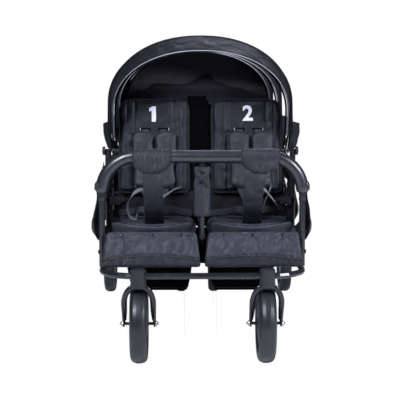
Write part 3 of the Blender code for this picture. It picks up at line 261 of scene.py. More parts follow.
TUBE = hard_paint("powder_coat", (0.013, 0.013, 0.015), 0.3, [(9, 4, 0.8, 1.25), (300, 2, 0.9, 1.15)],
                  (30, 4, 0.18, 0.31), (900, 2, 0.00015, 0.4), coat=0.15)
PLASTIC = plastic_paint("moulded_plastic", (0.018, 0.018, 0.02))
RIM = plastic_paint("rim_plastic", (0.024, 0.024, 0.027), 0.36)
TYRE = hard_paint("tyre_rubber", (0.014, 0.0145, 0.016), 0.4, [(14, 5, 0.75, 1.3), (120, 3, 0.9, 1.12)],
                  (22, 4, 0.3, 0.5), (500, 3, 0.0003, 0.4), specular=0.6)
FOAM = foam_paint()
CHROME = metal_paint("bright_zinc", (0.62, 0.62, 0.64))
SNAP = metal_paint("dark_snap", (0.045, 0.045, 0.05))
PRINT = print_paint()
# The seat cloth is the stroller's one charcoal fabric painted lighter: a painted highlight on the cushions'
# lit tops.
SEAT_CLOTH_PAINTED_LIGHT = cloth_paint("seat_cloth", (0.044, 0.046, 0.062), 0.5, wrinkle=0.0040)
# The back cloth is the same charcoal fabric painted darker: painted shade on the backs under the hoods and
# on the calf rests' undersides.
BACK_CLOTH_PAINTED_SHADE = cloth_paint("back_cloth", (0.0072, 0.0076, 0.0118), 0.46, 0.04, wrinkle=0.0042, specular=0.38)
CALF_CLOTH = cloth_paint("calf_cloth", (0.020, 0.021, 0.031), 0.43, wrinkle=0.0044)
# The hood cloth is the same charcoal fabric painted darker: painted shade where the lamps light the hoods,
# the side walls and the flaps.
HOOD_CLOTH_PAINTED_SHADE = cloth_paint("hood_cloth", (0.0052, 0.0056, 0.0092), 0.50, 0.02, wrinkle=0.0034, specular=0.32)
# The brown-grey lining is painted light: lighter where light shines through the hood cloth.
LINING_PAINTED_LIGHT = cloth_paint("hood_lining", (0.046, 0.041, 0.045), 0.8, wrinkle=0.0020)
PAD_CLOTH = cloth_paint("pad_cloth", (0.016, 0.017, 0.024), 0.48, wrinkle=0.0034)
# Near-black cloth, partly the cloth's own black and partly painted shade: its colour and gloss are held far
# below real black cloth so the gaps it fills read as shadow.
BLACK_CLOTH_PAINTED_SHADE = cloth_paint("black_cloth", (0.0018, 0.0018, 0.0022), 0.95, 0, wrinkle=0.0022, specular=0.04)
DRAPE_CLOTH = cloth_paint("drape_cloth", (0.010, 0.010, 0.013), 0.7, 0.03, wrinkle=0.0030, specular=0.3)
PIPING = cloth_paint("grey_piping", (0.55, 0.55, 0.58), 0.6, wrinkle=0, thread=260, melange=0.1)
EDGING = cloth_paint("dark_edging", (0.010, 0.010, 0.013), 0.65, specular=0.3, wrinkle=0, thread=260)
WEBBING = cloth_paint("grey_webbing", (0.19, 0.19, 0.20), 0.6, wrinkle=0, thread=150, melange=0.6)
DARK_WEBBING = cloth_paint("dark_webbing", (0.018, 0.018, 0.022), 0.7, wrinkle=0, thread=150)
THREAD = cloth_paint("thread", (0.050, 0.050, 0.060), 0.7, wrinkle=0, thread=300)


# Lines and sections

def through(points, steps=6):
    """A smooth line through the points."""
    pts = [Vector(p) for p in points]
    line = []
    for i in range(len(pts) - 1):
        b, c = pts[i], pts[i + 1]
        a = pts[i - 1] if i else b * 2 - c
        d = pts[i + 2] if i + 2 < len(pts) else c * 2 - b
        for k in range(steps):
            t = k / steps
            line.append(0.5 * ((2 * b) + (c - a) * t + (2 * a - 5 * b + 4 * c - d) * t * t
                               + (3 * b - a - 3 * c + d) * t ** 3))
    return line + [pts[-1]]


def rounded(corners, bends, steps=8):
    """Straight runs joined by arcs of the given radii."""
    corners = [Vector(p) for p in corners]
    points = [corners[0]]
    for before, corner, after, bend in zip(corners, corners[1:], corners[2:], bends):
        into, out = (corner - before).normalized(), (after - corner).normalized()
        turn = into.angle(out)
        start = corner - into * bend * tan(turn / 2)
        inward = (out - into * into.dot(out)).normalized()
        for step in range(steps + 1):
            angle = turn * step / steps
            points.append(start + inward * bend * (1 - cos(angle)) + into * bend * sin(angle))
    return points + [corners[-1]]


def rounded_outline(corners, radii, steps=6):
    """A closed outline of (x, y) with each corner rounded."""
    out = []
    for i, radius in enumerate(radii):
        a, b, c = (Vector(corners[k % len(corners)]) for k in (i - 1, i, i + 1))
        into, away = (b - a).normalized(), (c - b).normalized()
        reach = radius * tan(into.angle(away) / 2)
        p, q = b - into * reach, b + away * reach
        for k in range(steps + 1):
            t = k / steps
            out.append((p * (1 - t) ** 2 + b * 2 * t * (1 - t) + q * t * t)[:])
    return out


def spaced(line, gap, closed=True):
    """The points of a line at even steps."""
    pts = [Vector(p) for p in line]
    if closed:
        pts.append(pts[0])
    lengths = [0.0]
    for a, b in zip(pts, pts[1:]):
        lengths.append(lengths[-1] + (b - a).length)
    count = max(3, int(lengths[-1] / gap))
    out = []
    i = 0
    for k in range(count if closed else count + 1):
        want = lengths[-1] * k / count
        while i < len(pts) - 2 and lengths[i + 1] < want:
            i += 1
        span = max(lengths[i + 1] - lengths[i], 1e-9)
        out.append(pts[i].lerp(pts[i + 1], (want - lengths[i]) / span))
    return out


def moved(line, matrix):
    """A line in another place."""
    return [matrix @ Vector(p) for p in line]


def circle(radius, sides=12):
    return [(radius * cos(2 * pi * k / sides), radius * sin(2 * pi * k / sides)) for k in range(sides)]


def oval(wide, thick, sides=16, power=2.0):
    """A section between an ellipse (power 2) and a rounded bar (higher powers)."""
    out = []
    for c, s in circle(1, sides):
        out.append((wide / 2 * abs(c) ** (2 / power) * (1 if c > 0 else -1),
                    thick / 2 * abs(s) ** (2 / power) * (1 if s > 0 else -1)))
    return out


def narrowed(depth, width):
    """A sweep's scale, drawn in at both ends."""
    return lambda t: (1 - depth * dent(min(t, 1 - t), width),) * 2


# Object makers

def add_object(name, mesh):
    """Any data as an object of the scene."""
    obj = bpy.data.objects.new(name, mesh)
    SCENE.collection.objects.link(obj)
    return obj


def new_mesh(name, verts, faces, mat, smooth=True):
    mesh = bpy.data.meshes.new(name)
    mesh.from_pydata([tuple(v) for v in verts], [], faces)
    mesh.validate()
    mesh.materials.append(mat)
    if smooth:
        mesh.shade_smooth()
    return add_object(name, mesh)


def net(rows, columns, wrap_rows=False, wrap_columns=True, base=0):
    """The faces of a net of points, row by row."""
    faces = []
    for i in range(rows if wrap_rows else rows - 1):
        j = (i + 1) % rows
        for k in range(columns if wrap_columns else columns - 1):
            n = (k + 1) % columns
            faces.append(tuple(base + r * columns + c for r, c in ((i, k), (i, n), (j, n), (j, k))))
    return faces


def sharpen(obj, degrees=50):
    """Outward normals, smooth shading, and edges kept sharp above an angle."""
    bm = bmesh.new()
    bm.from_mesh(obj.data)
    bmesh.ops.recalc_face_normals(bm, faces=bm.faces)
    bm.to_mesh(obj.data)
    bm.free()
    obj.data.shade_smooth()
    obj.data.set_sharp_from_angle(angle=radians(degrees))
    return obj


def sweep(name, points, section, mat, side=None, closed=False, scale=None):
    """A section run along a line. side fixes the section's first axis; scale(t) gives (first, second)."""
    pts = [Vector(p) for p in points]
    count, ring = len(pts), len(section)
    verts = []
    first = None
    for i, point in enumerate(pts):
        ahead = pts[(i + 1) % count] if closed or i + 1 < count else point
        behind = pts[i - 1] if closed or i else point
        tangent = (ahead - behind).normalized()
        if side is not None:
            first = Vector(side(i / (count - 1)) if callable(side) else side)
        elif first is None:
            first = tangent.orthogonal()
        first = (first - tangent * first.dot(tangent)).normalized()
        second = tangent.cross(first)
        grow = scale(i / (count - 1)) if scale else (1, 1)
        for u, v in section:
            verts.append(point + first * u * grow[0] + second * v * grow[1])
    faces = net(count, ring, closed)
    if not closed:
        faces += [tuple(reversed(range(ring))), tuple(range((count - 1) * ring, count * ring))]
    return sharpen(new_mesh(name, verts, faces, mat))


def lathe(name, profile, centre, mat, segments=72, axis="X"):
    """A closed profile of (along, radius) turned about an axis."""
    verts = []
    for k in range(segments):
        a = 2 * pi * k / segments
        for along, radius in profile:
            u, v = radius * sin(a), radius * cos(a)
            spot = {"X": (along, u, v), "Y": (u, along, v), "Z": (v, u, along)}[axis]
            verts.append(Vector(centre) + Vector(spot))
    return sharpen(new_mesh(name, verts, net(segments, len(profile), True), mat), 38)


def turned(name, points, centre, mat, segments, sign=1, axis="X"):
    """A solid turned from (along, radius) points and closed on its axis. sign turns it round."""
    points = [(points[0][0], 0.0004)] + points + [(points[-1][0], 0.0004)]
    return lathe(name, [(sign * a, r) for a, r in points], centre, mat, segments, axis)


def join(name, objs):
    """One object from several, with their materials kept."""
    first = objs[0]
    bm = bmesh.new()
    mats = []
    for obj in objs:
        for mat in obj.data.materials:
            if mat not in mats:
                mats.append(mat)
    for obj in objs:
        before = len(bm.faces)
        mesh = obj.data
        mesh.transform(obj.matrix_world)
        bm.from_mesh(mesh)
        bm.faces.ensure_lookup_table()
        for face in bm.faces[before:]:
            face.material_index = mats.index(mesh.materials[face.material_index])
        if obj is not first:
            bpy.data.objects.remove(obj, do_unlink=True)
    first.data.materials.clear()
    for mat in mats:
        first.data.materials.append(mat)
    bm.to_mesh(first.data)
    bm.free()
    first.matrix_world = Matrix()
    first.name = name
    return first


def grid(name, points, mat, closed=False):
    """A sheet of quads from rows of points."""
    faces = net(len(points), len(points[0]), False, closed)
    return new_mesh(name, [p for line in points for p in line], faces, mat)


def mapped_rows(rows, columns, point, closed=False):
    """Rows of points from point(share of the rows, share of the columns)."""
    ends = columns if closed else columns + 1
    return [[point(i / rows, k / columns) for k in range(ends)] for i in range(rows + 1)]


def bake(obj):
    """Apply every modifier."""
    bpy.context.view_layer.update()
    graph = bpy.context.evaluated_depsgraph_get()
    mesh = bpy.data.meshes.new_from_object(obj.evaluated_get(graph))
    old = obj.data
    obj.modifiers.clear()
    obj.data = mesh
    mesh.name = obj.name
    bpy.data.meshes.remove(old)
    mesh.shade_smooth()
    return obj


def subdivide(obj):
    smooth = obj.modifiers.new("smooth", "SUBSURF")
    smooth.levels = smooth.render_levels = 1
    return bake(obj)


def thicken(obj, thickness, offset=0.0):
    solid = obj.modifiers.new("cloth", "SOLIDIFY")
    solid.thickness = thickness
    solid.offset = offset
    return bake(obj)


def cloth_sheet(obj, thickness=CLOTH):
    """Thickens a sheet."""
    thicken(obj, thickness)
    return obj


def ride(obj, body, slot):
    """A piece that moves with one body."""
    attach(obj, body)
    return obj


def ride_joined(name, pieces, body, slot):
    return ride(join(name, pieces), body, slot)


def bridge(obj, second, start, end):
    """Write a soft piece's place into its mesh."""
    tuple(start)
    tuple(end)
    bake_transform(obj)


def copy_of(obj, name, matrix, flip=False):
    """The same piece elsewhere, with its shape written into its own mesh."""
    mesh = obj.data.copy()
    mesh.transform(matrix)
    if flip:
        mesh.flip_normals()
    mesh.name = name
    return add_object(name, mesh)


# Wheels

FRONT_TREAD, REAR_TREAD = 0.055, 0.045
REAR_WHEEL_X = {"outer": 0.3575, "inner": 0.067}
RIM_R = WHEEL_R - 0.034
SPOKES = 5


def tyre_profile(width, inner):
    """A round-shouldered solid tyre with two shallow grooves beside a flat tread band."""
    half = width / 2
    right = []
    for step in range(13):
        a = radians(90 * step / 12)
        x = 0.006 + (half - 0.006) * sin(a)
        drop = half * 0.75 * (1 - cos(a)) + 0.0016 * dent(x - 0.0125, 0.0013)
        right.append((x, WHEEL_R - drop))
    right += [(half * 0.95, WHEEL_R - 0.026), (half * 0.82, inner + 0.003), (half * 0.66, inner)]
    return [(-x, r) for x, r in reversed(right)] + right


def rim_side(rim_r, half, web, hub, hub_half):
    """One face of a rim: lip, dished web and hub."""
    return [(half * 0.66, rim_r), (half * 0.70, rim_r - 0.004), (half * 0.62, rim_r - 0.009),
            (web, rim_r - 0.015), (web, hub + 0.014), (web + 0.004, hub + 0.006),
            (hub_half - 0.004, hub + 0.001), (hub_half, hub - 0.002)]


def wheel(name, centre, width, body, slots, replaced, hub_half):
    """A tyre on a rim with raised spokes over a dished web."""
    centre = Vector(centre)
    tyre = lathe(name + "_tyre", tyre_profile(width, RIM_R), centre, TYRE, 96)
    side = rim_side(RIM_R - 0.0004, width / 2, 0.007, 0.018, hub_half)
    pieces = [lathe(name + "_rim", [(-x, r) for x, r in side] + side[::-1]
                    + [(hub_half, 0.0095), (-hub_half, 0.0095)], centre, RIM, 72)]
    for sign in (-1, 1):
        for k in range(SPOKES):
            for turn in (-0.13, 0.13):
                a, b = 2 * pi * k / SPOKES + turn, 2 * pi * k / SPOKES + turn * 2.1
                inner, outer = (centre + Vector((sign * 0.0085, sin(angle) * r, cos(angle) * r))
                                for angle, r in ((a, 0.026), (b, RIM_R - 0.010)))
                line = through([inner, inner.lerp(outer, 0.5), outer], 4)
                pieces.append(sweep("spoke", line, oval(0.010, 0.009, 12, 3.0), RIM, side=(1, 0, 0)))
    rim = join(name + "_rim", pieces)
    for piece, slot in zip((tyre, rim), slots):
        ride(piece, body, slot)
    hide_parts(*replaced)
    if len(replaced) > 1:
        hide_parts(replaced[1])


def hex_nut(name, centre, sign, body):
    """A hexagon nut with a rounded end and the threaded tip of its bolt."""
    radius, length = 0.0088, 0.007
    verts = []
    for along, r in ((0, radius), (length * 0.75, radius), (length, radius * 0.82)):
        for k in range(6):
            a = 2 * pi * k / 6 + 0.3
            verts.append(Vector(centre) + Vector((sign * along, r * sin(a), r * cos(a))))
    faces = net(3, 6) + [tuple(range(6)), tuple(range(12, 18))]
    nut = sharpen(new_mesh(name, verts, faces, CHROME))
    tip = turned("tip", [(length * 0.6, 0.0042), (length + 0.0035, 0.0042), (length + 0.0045, 0.003)],
                 centre, CHROME, 24, sign)
    ride_joined(name, [nut, tip], body, "tube")


def wheels():
    for side, sign in SIDES.items():
        x = sign * CASTER_X
        wheel("castor_wheel_" + side, (x, FRONT_AXLE, WHEEL_R), FRONT_TREAD, "front_wheel_" + side,
              ("tyre", "rim"), ("front_tyre_" + side, "front_rim_" + side), 0.0298)
        for way, label in WAYS:
            hex_nut("axle_nut_%s_%s" % (side, label), (x + way * 0.0495, FRONT_AXLE, WHEEL_R), way,
                    "caster_" + side)
        for place, x in REAR_WHEEL_X.items():
            node = "rear_wheel_%s_%s" % (side, place)
            wheel(node, (sign * x, REAR_AXLE, WHEEL_R), REAR_TREAD, node + "_body", ("tyre", "tyre"),
                  (node,), 0.0198)
        r = 0.0125
        cap = turned("axle_cap_" + side, [(0.0, r), (0.002, r), (0.0045, r * 0.8), (0.006, r * 0.35)],
                     (sign * 0.3785, REAR_AXLE, WHEEL_R), PLASTIC, 32, sign)
        ride(cap, "root", "plastic")


# Stuffed pieces

def slab(outline, low, high, rings=3):
    """A closed slab from a flat outline, with its rim rounded over."""
    bm = bmesh.new()
    count = len(outline)
    middle = Vector((sum(p[0] for p in outline) / count, sum(p[1] for p in outline) / count))
    layers = []
    for step in range(-rings, rings + 1):
        a = radians(80 * step / rings)
        inset = (high - low) * 0.45 * (1 - cos(a))
        z = (low + high) / 2 + (high - low) / 2 * sin(a) / sin(radians(80))
        layer = []
        for x, y in outline:
            p = Vector((x, y)) - (Vector((x, y)) - middle).normalized() * inset
            layer.append(bm.verts.new((p.x, p.y, z)))
        layers.append(layer)
    for a, b in zip(layers, layers[1:]):
        for k in range(count):
            n = (k + 1) % count
            bm.faces.new((a[k], a[n], b[n], b[k]))
    bm.faces.new(layers[-1])
    bm.faces.new(list(reversed(layers[0])))
    bmesh.ops.recalc_face_normals(bm, faces=bm.faces)
    mesh = bpy.data.meshes.new("slab")
    bm.to_mesh(mesh)
    bm.free()
    return add_object("slab", mesh)


def puff(obj, voxel, pressure, cap, held=None):
    """Fill a slab as a cushion is filled: cloth under pressure, with each point's travel capped."""
    remesh = obj.modifiers.new("remesh", "REMESH")
    remesh.mode = "VOXEL"
    remesh.voxel_size = voxel
    bake(obj)
    start = [v.co.copy() for v in obj.data.vertices]
    cloth = obj.modifiers.new("fill", "CLOTH")
    settings = cloth.settings
    if held:
        group = obj.vertex_groups.new(name="held")
        for v in obj.data.vertices:
            if held(v.co):
                group.add([v.index], 1.0, "REPLACE")
        settings.vertex_group_mass = "held"
    settings.quality = 5
    settings.mass = 0.2
    settings.use_pressure = True
    settings.uniform_pressure_force = pressure
    settings.tension_stiffness = settings.compression_stiffness = 12
    settings.effector_weights.gravity = 0
    cloth.point_cache.frame_start, cloth.point_cache.frame_end = 1, 20
    for f in range(1, 21):
        SCENE.frame_set(f)
    shape = obj.evaluated_get(bpy.context.evaluated_depsgraph_get())
    filled = [v.co.copy() for v in shape.to_mesh().vertices]
    shape.to_mesh_clear()
    obj.modifiers.clear()
    SCENE.frame_set(1)
    for v, a, b in zip(obj.data.vertices, start, filled):
        step = b - a
        if step.length > cap:
            step *= cap / step.length
        v.co = a + step
    return subdivide(obj)


def press(obj, depth_at, low, high):
    """Draw a surface in along its normals by a depth at each point, and keep its height in a range."""
    mesh = obj.data
    mesh.update()
    normals = [v.normal.copy() for v in mesh.vertices]
    for v, n in zip(mesh.vertices, normals):
        v.co -= n * depth_at(v.co, n)
        v.co.z = min(max(v.co.z, low), high)
    mesh.update()


def rim_line(obj, outline, level, gap):
    """The line where a pad's edge meets a level, found by looking in from outside."""
    count = len(outline)
    middle = Vector((sum(p[0] for p in outline) / count, sum(p[1] for p in outline) / count, level))
    line = []
    for x, y in outline:
        away = Vector((x, y, level)) - middle
        hit, point, normal, _ = obj.ray_cast(middle + away * 1.5, -away)
        if hit:
            line.append(point - normal * 0.0005)
    return spaced(line, gap)


def on_top(obj, x, y, lift=0.0, high=0.2):
    """The point of a local pad's upper face over (x, y)."""
    hit, point, normal, _ = obj.ray_cast(Vector((x, y, high)), Vector((0, 0, -1)))
    return point + normal * lift if hit else Vector((x, y, 0))


def stitches(name, line, mat=THREAD, length=0.0042):
    """A row of small raised stitches along a line."""
    gap, radius = 0.0024, 0.00045
    pts = spaced(line, (length + gap) / 2, closed=False)
    verts, faces = [], []
    for a, b in zip(pts[::2], pts[1::2]):
        along = (b - a).normalized()
        first = along.orthogonal().normalized()
        second = along.cross(first)
        faces += net(3, 4, base=len(verts))
        for end, r in ((a, radius / 2), (a.lerp(b, 0.5), radius), (b, radius / 2)):
            verts += [end + (first * c + second * s) * r for c, s in circle(1, 4)]
    return new_mesh(name, verts, faces, mat)


def welt(tag, rim, seams, place, radius, body):
    """The corded edge of a pad, with the stitches of its seams."""
    cord = sweep(tag + "_welt", moved(rim, place), circle(radius, 8), EDGING, closed=True)
    pieces = [cord] + [stitches("s", moved(line, place)) for line in seams]
    ride_joined(tag + "_welt", pieces, body, "cushion")


# Seats

def cushion_forms():
    """One seat cushion in its own terms: x from the seat's middle, y from the row's front plane."""
    low, high = 0.361, 0.408
    outline = rounded_outline([(0.140, 0.379), (-0.143, 0.379), (-0.145, 0.060), (-0.10, 0.044), (0, 0.040),
                               (0.10, 0.044), (0.142, 0.060)], [0.03, 0.03, 0.02, 0.09, 0.12, 0.09, 0.02])
    body = puff(slab(outline, low, high), 0.005, 4.0, 0.011)

    def middle_seam(x):
        return 0.205 + 0.004 * cos(x * 9)

    def front_seam(x):
        return 0.078 - 0.016 * cos(x * 11)

    def lip(p):
        """The front edge swells up and forward over the calf rest, most in the middle."""
        near = ease((0.130 - p.y) / 0.085)
        bow = max(0.0, 1 - (p.x / 0.150) ** 2)
        level = 0.445 - 0.026 * bow + (0.009 + 0.008 * bow) * (p.z - low) / (high - low)
        return Vector((p.x, p.y - 0.046 * near * bow, p.z + near * (level - p.z)))

    def depth(p, n):
        if n.z < 0.2:
            return 0
        ahead = p.y - front_seam(p.x)
        seams = 0.0042 * dent(p.y - middle_seam(p.x), 0.007) + 0.0036 * dent(abs(p.x) - 0.100, 0.006)
        seams += 0.0036 * dent(ahead, 0.006) + 0.0022 * grain(p.x * 22, p.y * 30, 0.3)
        return seams + 0.0014 * sin(p.x * 210 + 3 * noise.noise(p * 20)) * dent(ahead, 0.022)

    press(body, depth, 0.3562, 0.4235)
    shares = [k / 40 for k in range(41)]
    rim = rim_line(body, outline, 0.396, 0.006)
    spots = [[(x, seam(x)) for x in (half * (2 * s - 1) for s in shares)]
             for half, seam in ((0.128, middle_seam), (0.130, front_seam))]
    spots += [[(x, 0.085 + 0.285 * s) for s in shares] for x in (-0.1, 0.1)]
    seams = [[lip(on_top(body, x, y, 0.0003, 0.6)) for x, y in line] for line in spots]
    for v in body.data.vertices:
        v.co = lip(v.co)
    return body, [lip(p) for p in rim], seams


def seats():
    form, rim, seams = cushion_forms()
    form.data.materials.append(SEAT_CLOTH_PAINTED_LIGHT)
    for row in ROWS:
        for side, sign in SIDES.items():
            place = Matrix.Translation((sign * SEAT_X, row_y(row), 0)) @ Matrix.Scale(sign, 4, (1, 0, 0))
            tag = "row%d_seat_%s" % (row, side)
            cushion = copy_of(form, tag + "_cushion", place, flip=sign < 0)
            ride(cushion, "root", "cushion")
            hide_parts("row%d_cushion_%s" % (row, side))
            welt(tag, rim, seams, place, 0.0027, "root")
    bpy.data.objects.remove(form, do_unlink=True)


def back_matrix(row, x):
    """From a back pad's own terms (across, up, out) to its place on the leaning back."""
    up, ahead = Vector((0, sin(LEAN), cos(LEAN))), Vector((0, -cos(LEAN), sin(LEAN)))
    origin = hinge(row) + up * 0.1792 + ahead * 0.0223
    return Matrix.Translation((x, origin.y, origin.z)) @ Matrix.Rotation(pi / 2 - LEAN, 4, "X")


def back_forms(top):
    """One back pad lying flat: a centre panel between two channels and a turned edge."""
    half, long = 0.1285, 0.1625
    outline = rounded_outline([(half, top), (-half, top), (-half, -long), (half, -long)],
                              [0.044, 0.044, 0.02, 0.02])
    body = puff(slab(outline, -0.0105, 0.0095), 0.005, 3.0, 0.0075)

    def depth(p, n):
        if n.z < 0.1:
            return 0
        channel = abs(p.x) - 0.067
        edge = max(abs(p.x) - half, p.y - top, -p.y - long) + 0.012
        seams = 0.0052 * dent(channel - 0.002 * noise.noise(p * 15), 0.0055)
        seams += 0.0016 * dent(abs(p.x) - 0.094, 0.003) + 0.0022 * dent(edge, 0.0035)
        seams += 0.0020 * grain(p.x * 10, p.y * 34, 1.7)
        return seams + 0.0012 * sin(p.y * 150 + 4 * noise.noise(p * 12)) * dent(channel, 0.018)

    press(body, depth, -0.0148, 0.0205)
    rim = rim_line(body, outline, 0.0045, 0.005)
    seams = [[on_top(body, x, -0.150 + (0.138 + top) * k / 50, 0.0003) for k in range(51)]
             for x in (-0.0735, -0.0605, 0.0605, 0.0735)]
    return body, rim, seams


NUMERAL_SIZE = 0.072


def digit(name, text):
    """A plain printed numeral, a hair proud of the cloth."""
    if text == "1":
        outline = [(0.012, -0.0265), (0.012, 0.0265), (-0.0005, 0.0265), (-0.011, 0.0195), (-0.011, 0.0085),
                   (-0.0025, 0.0125), (-0.0025, -0.0265)]
        return new_mesh(name, [(x, y, 0) for x, y in outline], [tuple(range(7))], PRINT, smooth=False)
    curve = bpy.data.curves.new(name, "FONT")
    curve.body = text
    curve.size = NUMERAL_SIZE
    curve.align_x = curve.align_y = "CENTER"
    curve.offset = 0.0022
    curve.resolution_u = 4
    obj = add_object(name, curve)
    mesh = bpy.data.meshes.new_from_object(obj)
    bpy.data.objects.remove(obj, do_unlink=True)
    return add_object(name, mesh)


def lay_on(obj, target, x, y, lift):
    """Shift a flat mesh to (x, y) and drop each of its points on a pad's face."""
    bm = bmesh.new()
    bm.from_mesh(obj.data)
    bmesh.ops.triangulate(bm, faces=bm.faces)
    for _ in range(3):
        edges = [e for e in bm.edges if e.calc_length() > 0.004]
        if edges:
            bmesh.ops.subdivide_edges(bm, edges=edges, cuts=1)
            bmesh.ops.triangulate(bm, faces=bm.faces)
    for v in bm.verts:
        face = on_top(target, v.co.x + x, v.co.y + y)
        v.co = Vector((v.co.x + x, v.co.y + y, face.z + lift))
    bm.to_mesh(obj.data)
    bm.free()


# Each row's pads sit a little lower than those before, and row 1's numerals are off the middle
BACK_DROP = {1: 0.0, 2: -0.010, 3: -0.018}
DIGIT_X = {("left", 1): -0.006, ("right", 1): 0.004}


def backs():
    tall, usual = back_forms(0.1755), back_forms(0.1625)
    number = 1
    for row in ROWS:
        form, rim, seams = tall if row == 1 else usual
        for side, sign in SIDES.items():
            body, tag = "row%d_back" % row, "row%d_back_%s" % (row, side)
            place = back_matrix(row, sign * SEAT_X) @ Matrix.Translation((sign * 0.003, BACK_DROP[row], 0))
            pad = copy_of(form, tag + "_pad", place)
            pad.data.materials.append(BACK_CLOTH_PAINTED_SHADE)
            ride(pad, body, "cushion")
            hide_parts("row%d_back_pad_%s" % (row, side))
            welt(tag, rim, seams, place, 0.0026, body)
            numeral = digit(tag + "_numeral", str(number))
            lay_on(numeral, form, DIGIT_X.get((side, row), 0.0), 0.1145 if row == 1 else 0.104, 0.0006)
            numeral.data.transform(place)
            numeral.data.materials.clear()
            numeral.data.materials.append(PRINT)
            ride(numeral, body, "cushion")
            harness(row, side, sign, form, place)
            number += 1
    for form in (tall, usual):
        bpy.data.objects.remove(form[0], do_unlink=True)


def webs():
    """Near-black cloth between each pair of backs and between each pair of cushions, its darkness painted
    shade in the gaps, and cloth under the backs.
    """
    half = 0.0385
    for row in ROWS:
        place = back_matrix(row, 0)
        back = "row%d_back" % row

        def back_point(t, u):
            out = -0.003 - 0.004 * sin(pi * u) + 0.0015 * grain(8 * u / 3, 6 * t, row)
            return place @ Vector((half * (2 * u - 1), -0.028 + 0.180 * t, out))

        web = grid(back + "_web", mapped_rows(12, 8, back_point), BLACK_CLOTH_PAINTED_SHADE)
        ride(cloth_sheet(web), back, "cushion")
        line = [(0.375, 0.374), (0.20, 0.372), (0.085, 0.373), (0.060, 0.366), (0.047, 0.345),
                (0.030, 0.312)]
        line = through([(0, row_y(row) + y, z) for y, z in line[:6 if row == 1 else 4]], 5)
        rows = [[p + Vector((half * (k / 3 - 1), 0, -0.003 * sin(pi * k / 6))) for k in range(7)]
                for p in line]
        strip = grid("row%d_seat_web" % row, rows, BLACK_CLOTH_PAINTED_SHADE)
        ride(cloth_sheet(strip), "root", "cushion")
        low, high = hinge(row) + Vector((0, 0.006, -0.056)), hinge(row) + Vector((0, -0.009, 0.032))
        rows = mapped_rows(8, 40, lambda t, u: low.lerp(high, t) + Vector(
            (0.296 * (2 * u - 1), 0.002 * sin(36 * u + 1.6 * t), 0)))
        panel = cloth_sheet(grid("row%d_lower_back" % row, rows, DRAPE_CLOTH))
        bridge(panel, back, low, high)


# Row 1's harnesses hang off the middle of their seats
HARNESS_SHIFT = {("left", 1): 0.002, ("right", 1): 0.014}


def shoulder_pad(name, x, place, top, target, sign):
    """A soft sleeve on a shoulder strap, hanging down the face of the back."""
    count, long = 22, 0.200
    line = []
    for k in range(count):
        t = k / (count - 1)
        y = top - long * t
        face = on_top(target, x, y).z if y > -0.155 else 0.012
        lean = 0.004 * sin(pi * t) + 0.012 * max(0, t - 0.6) ** 2 / 0.16
        line.append(Vector((x + 0.004 * sin(2.2 * pi * t) * sign, y, face + 0.0085 + lean)))

    def scale(t):
        end = dome(min(t, 1 - t) / 0.10)
        puffed = 1 - 0.20 * dent((t * 4) % 1 - 0.5, 0.12) * (0.1 < t < 0.9)
        return (0.30 + 0.70 * end) * (1 + 0.03 * sin(t * 17)), (0.25 + 0.75 * end) * puffed

    pad = subdivide(sweep(name, moved(line, place), oval(0.070, 0.023, 20, 2.4), PAD_CLOTH, side=(1, 0, 0),
                          scale=scale))
    for v in pad.data.vertices:
        v.co += wobble(v.co, 0.018, 0.0016, x)
    return pad


def strap(name, points, wide=0.022, mat=DARK_WEBBING, side=(1, 0, 0)):
    return sweep(name, through(points, 8), oval(wide, 0.0016, 12, 4.0), mat, side=side)


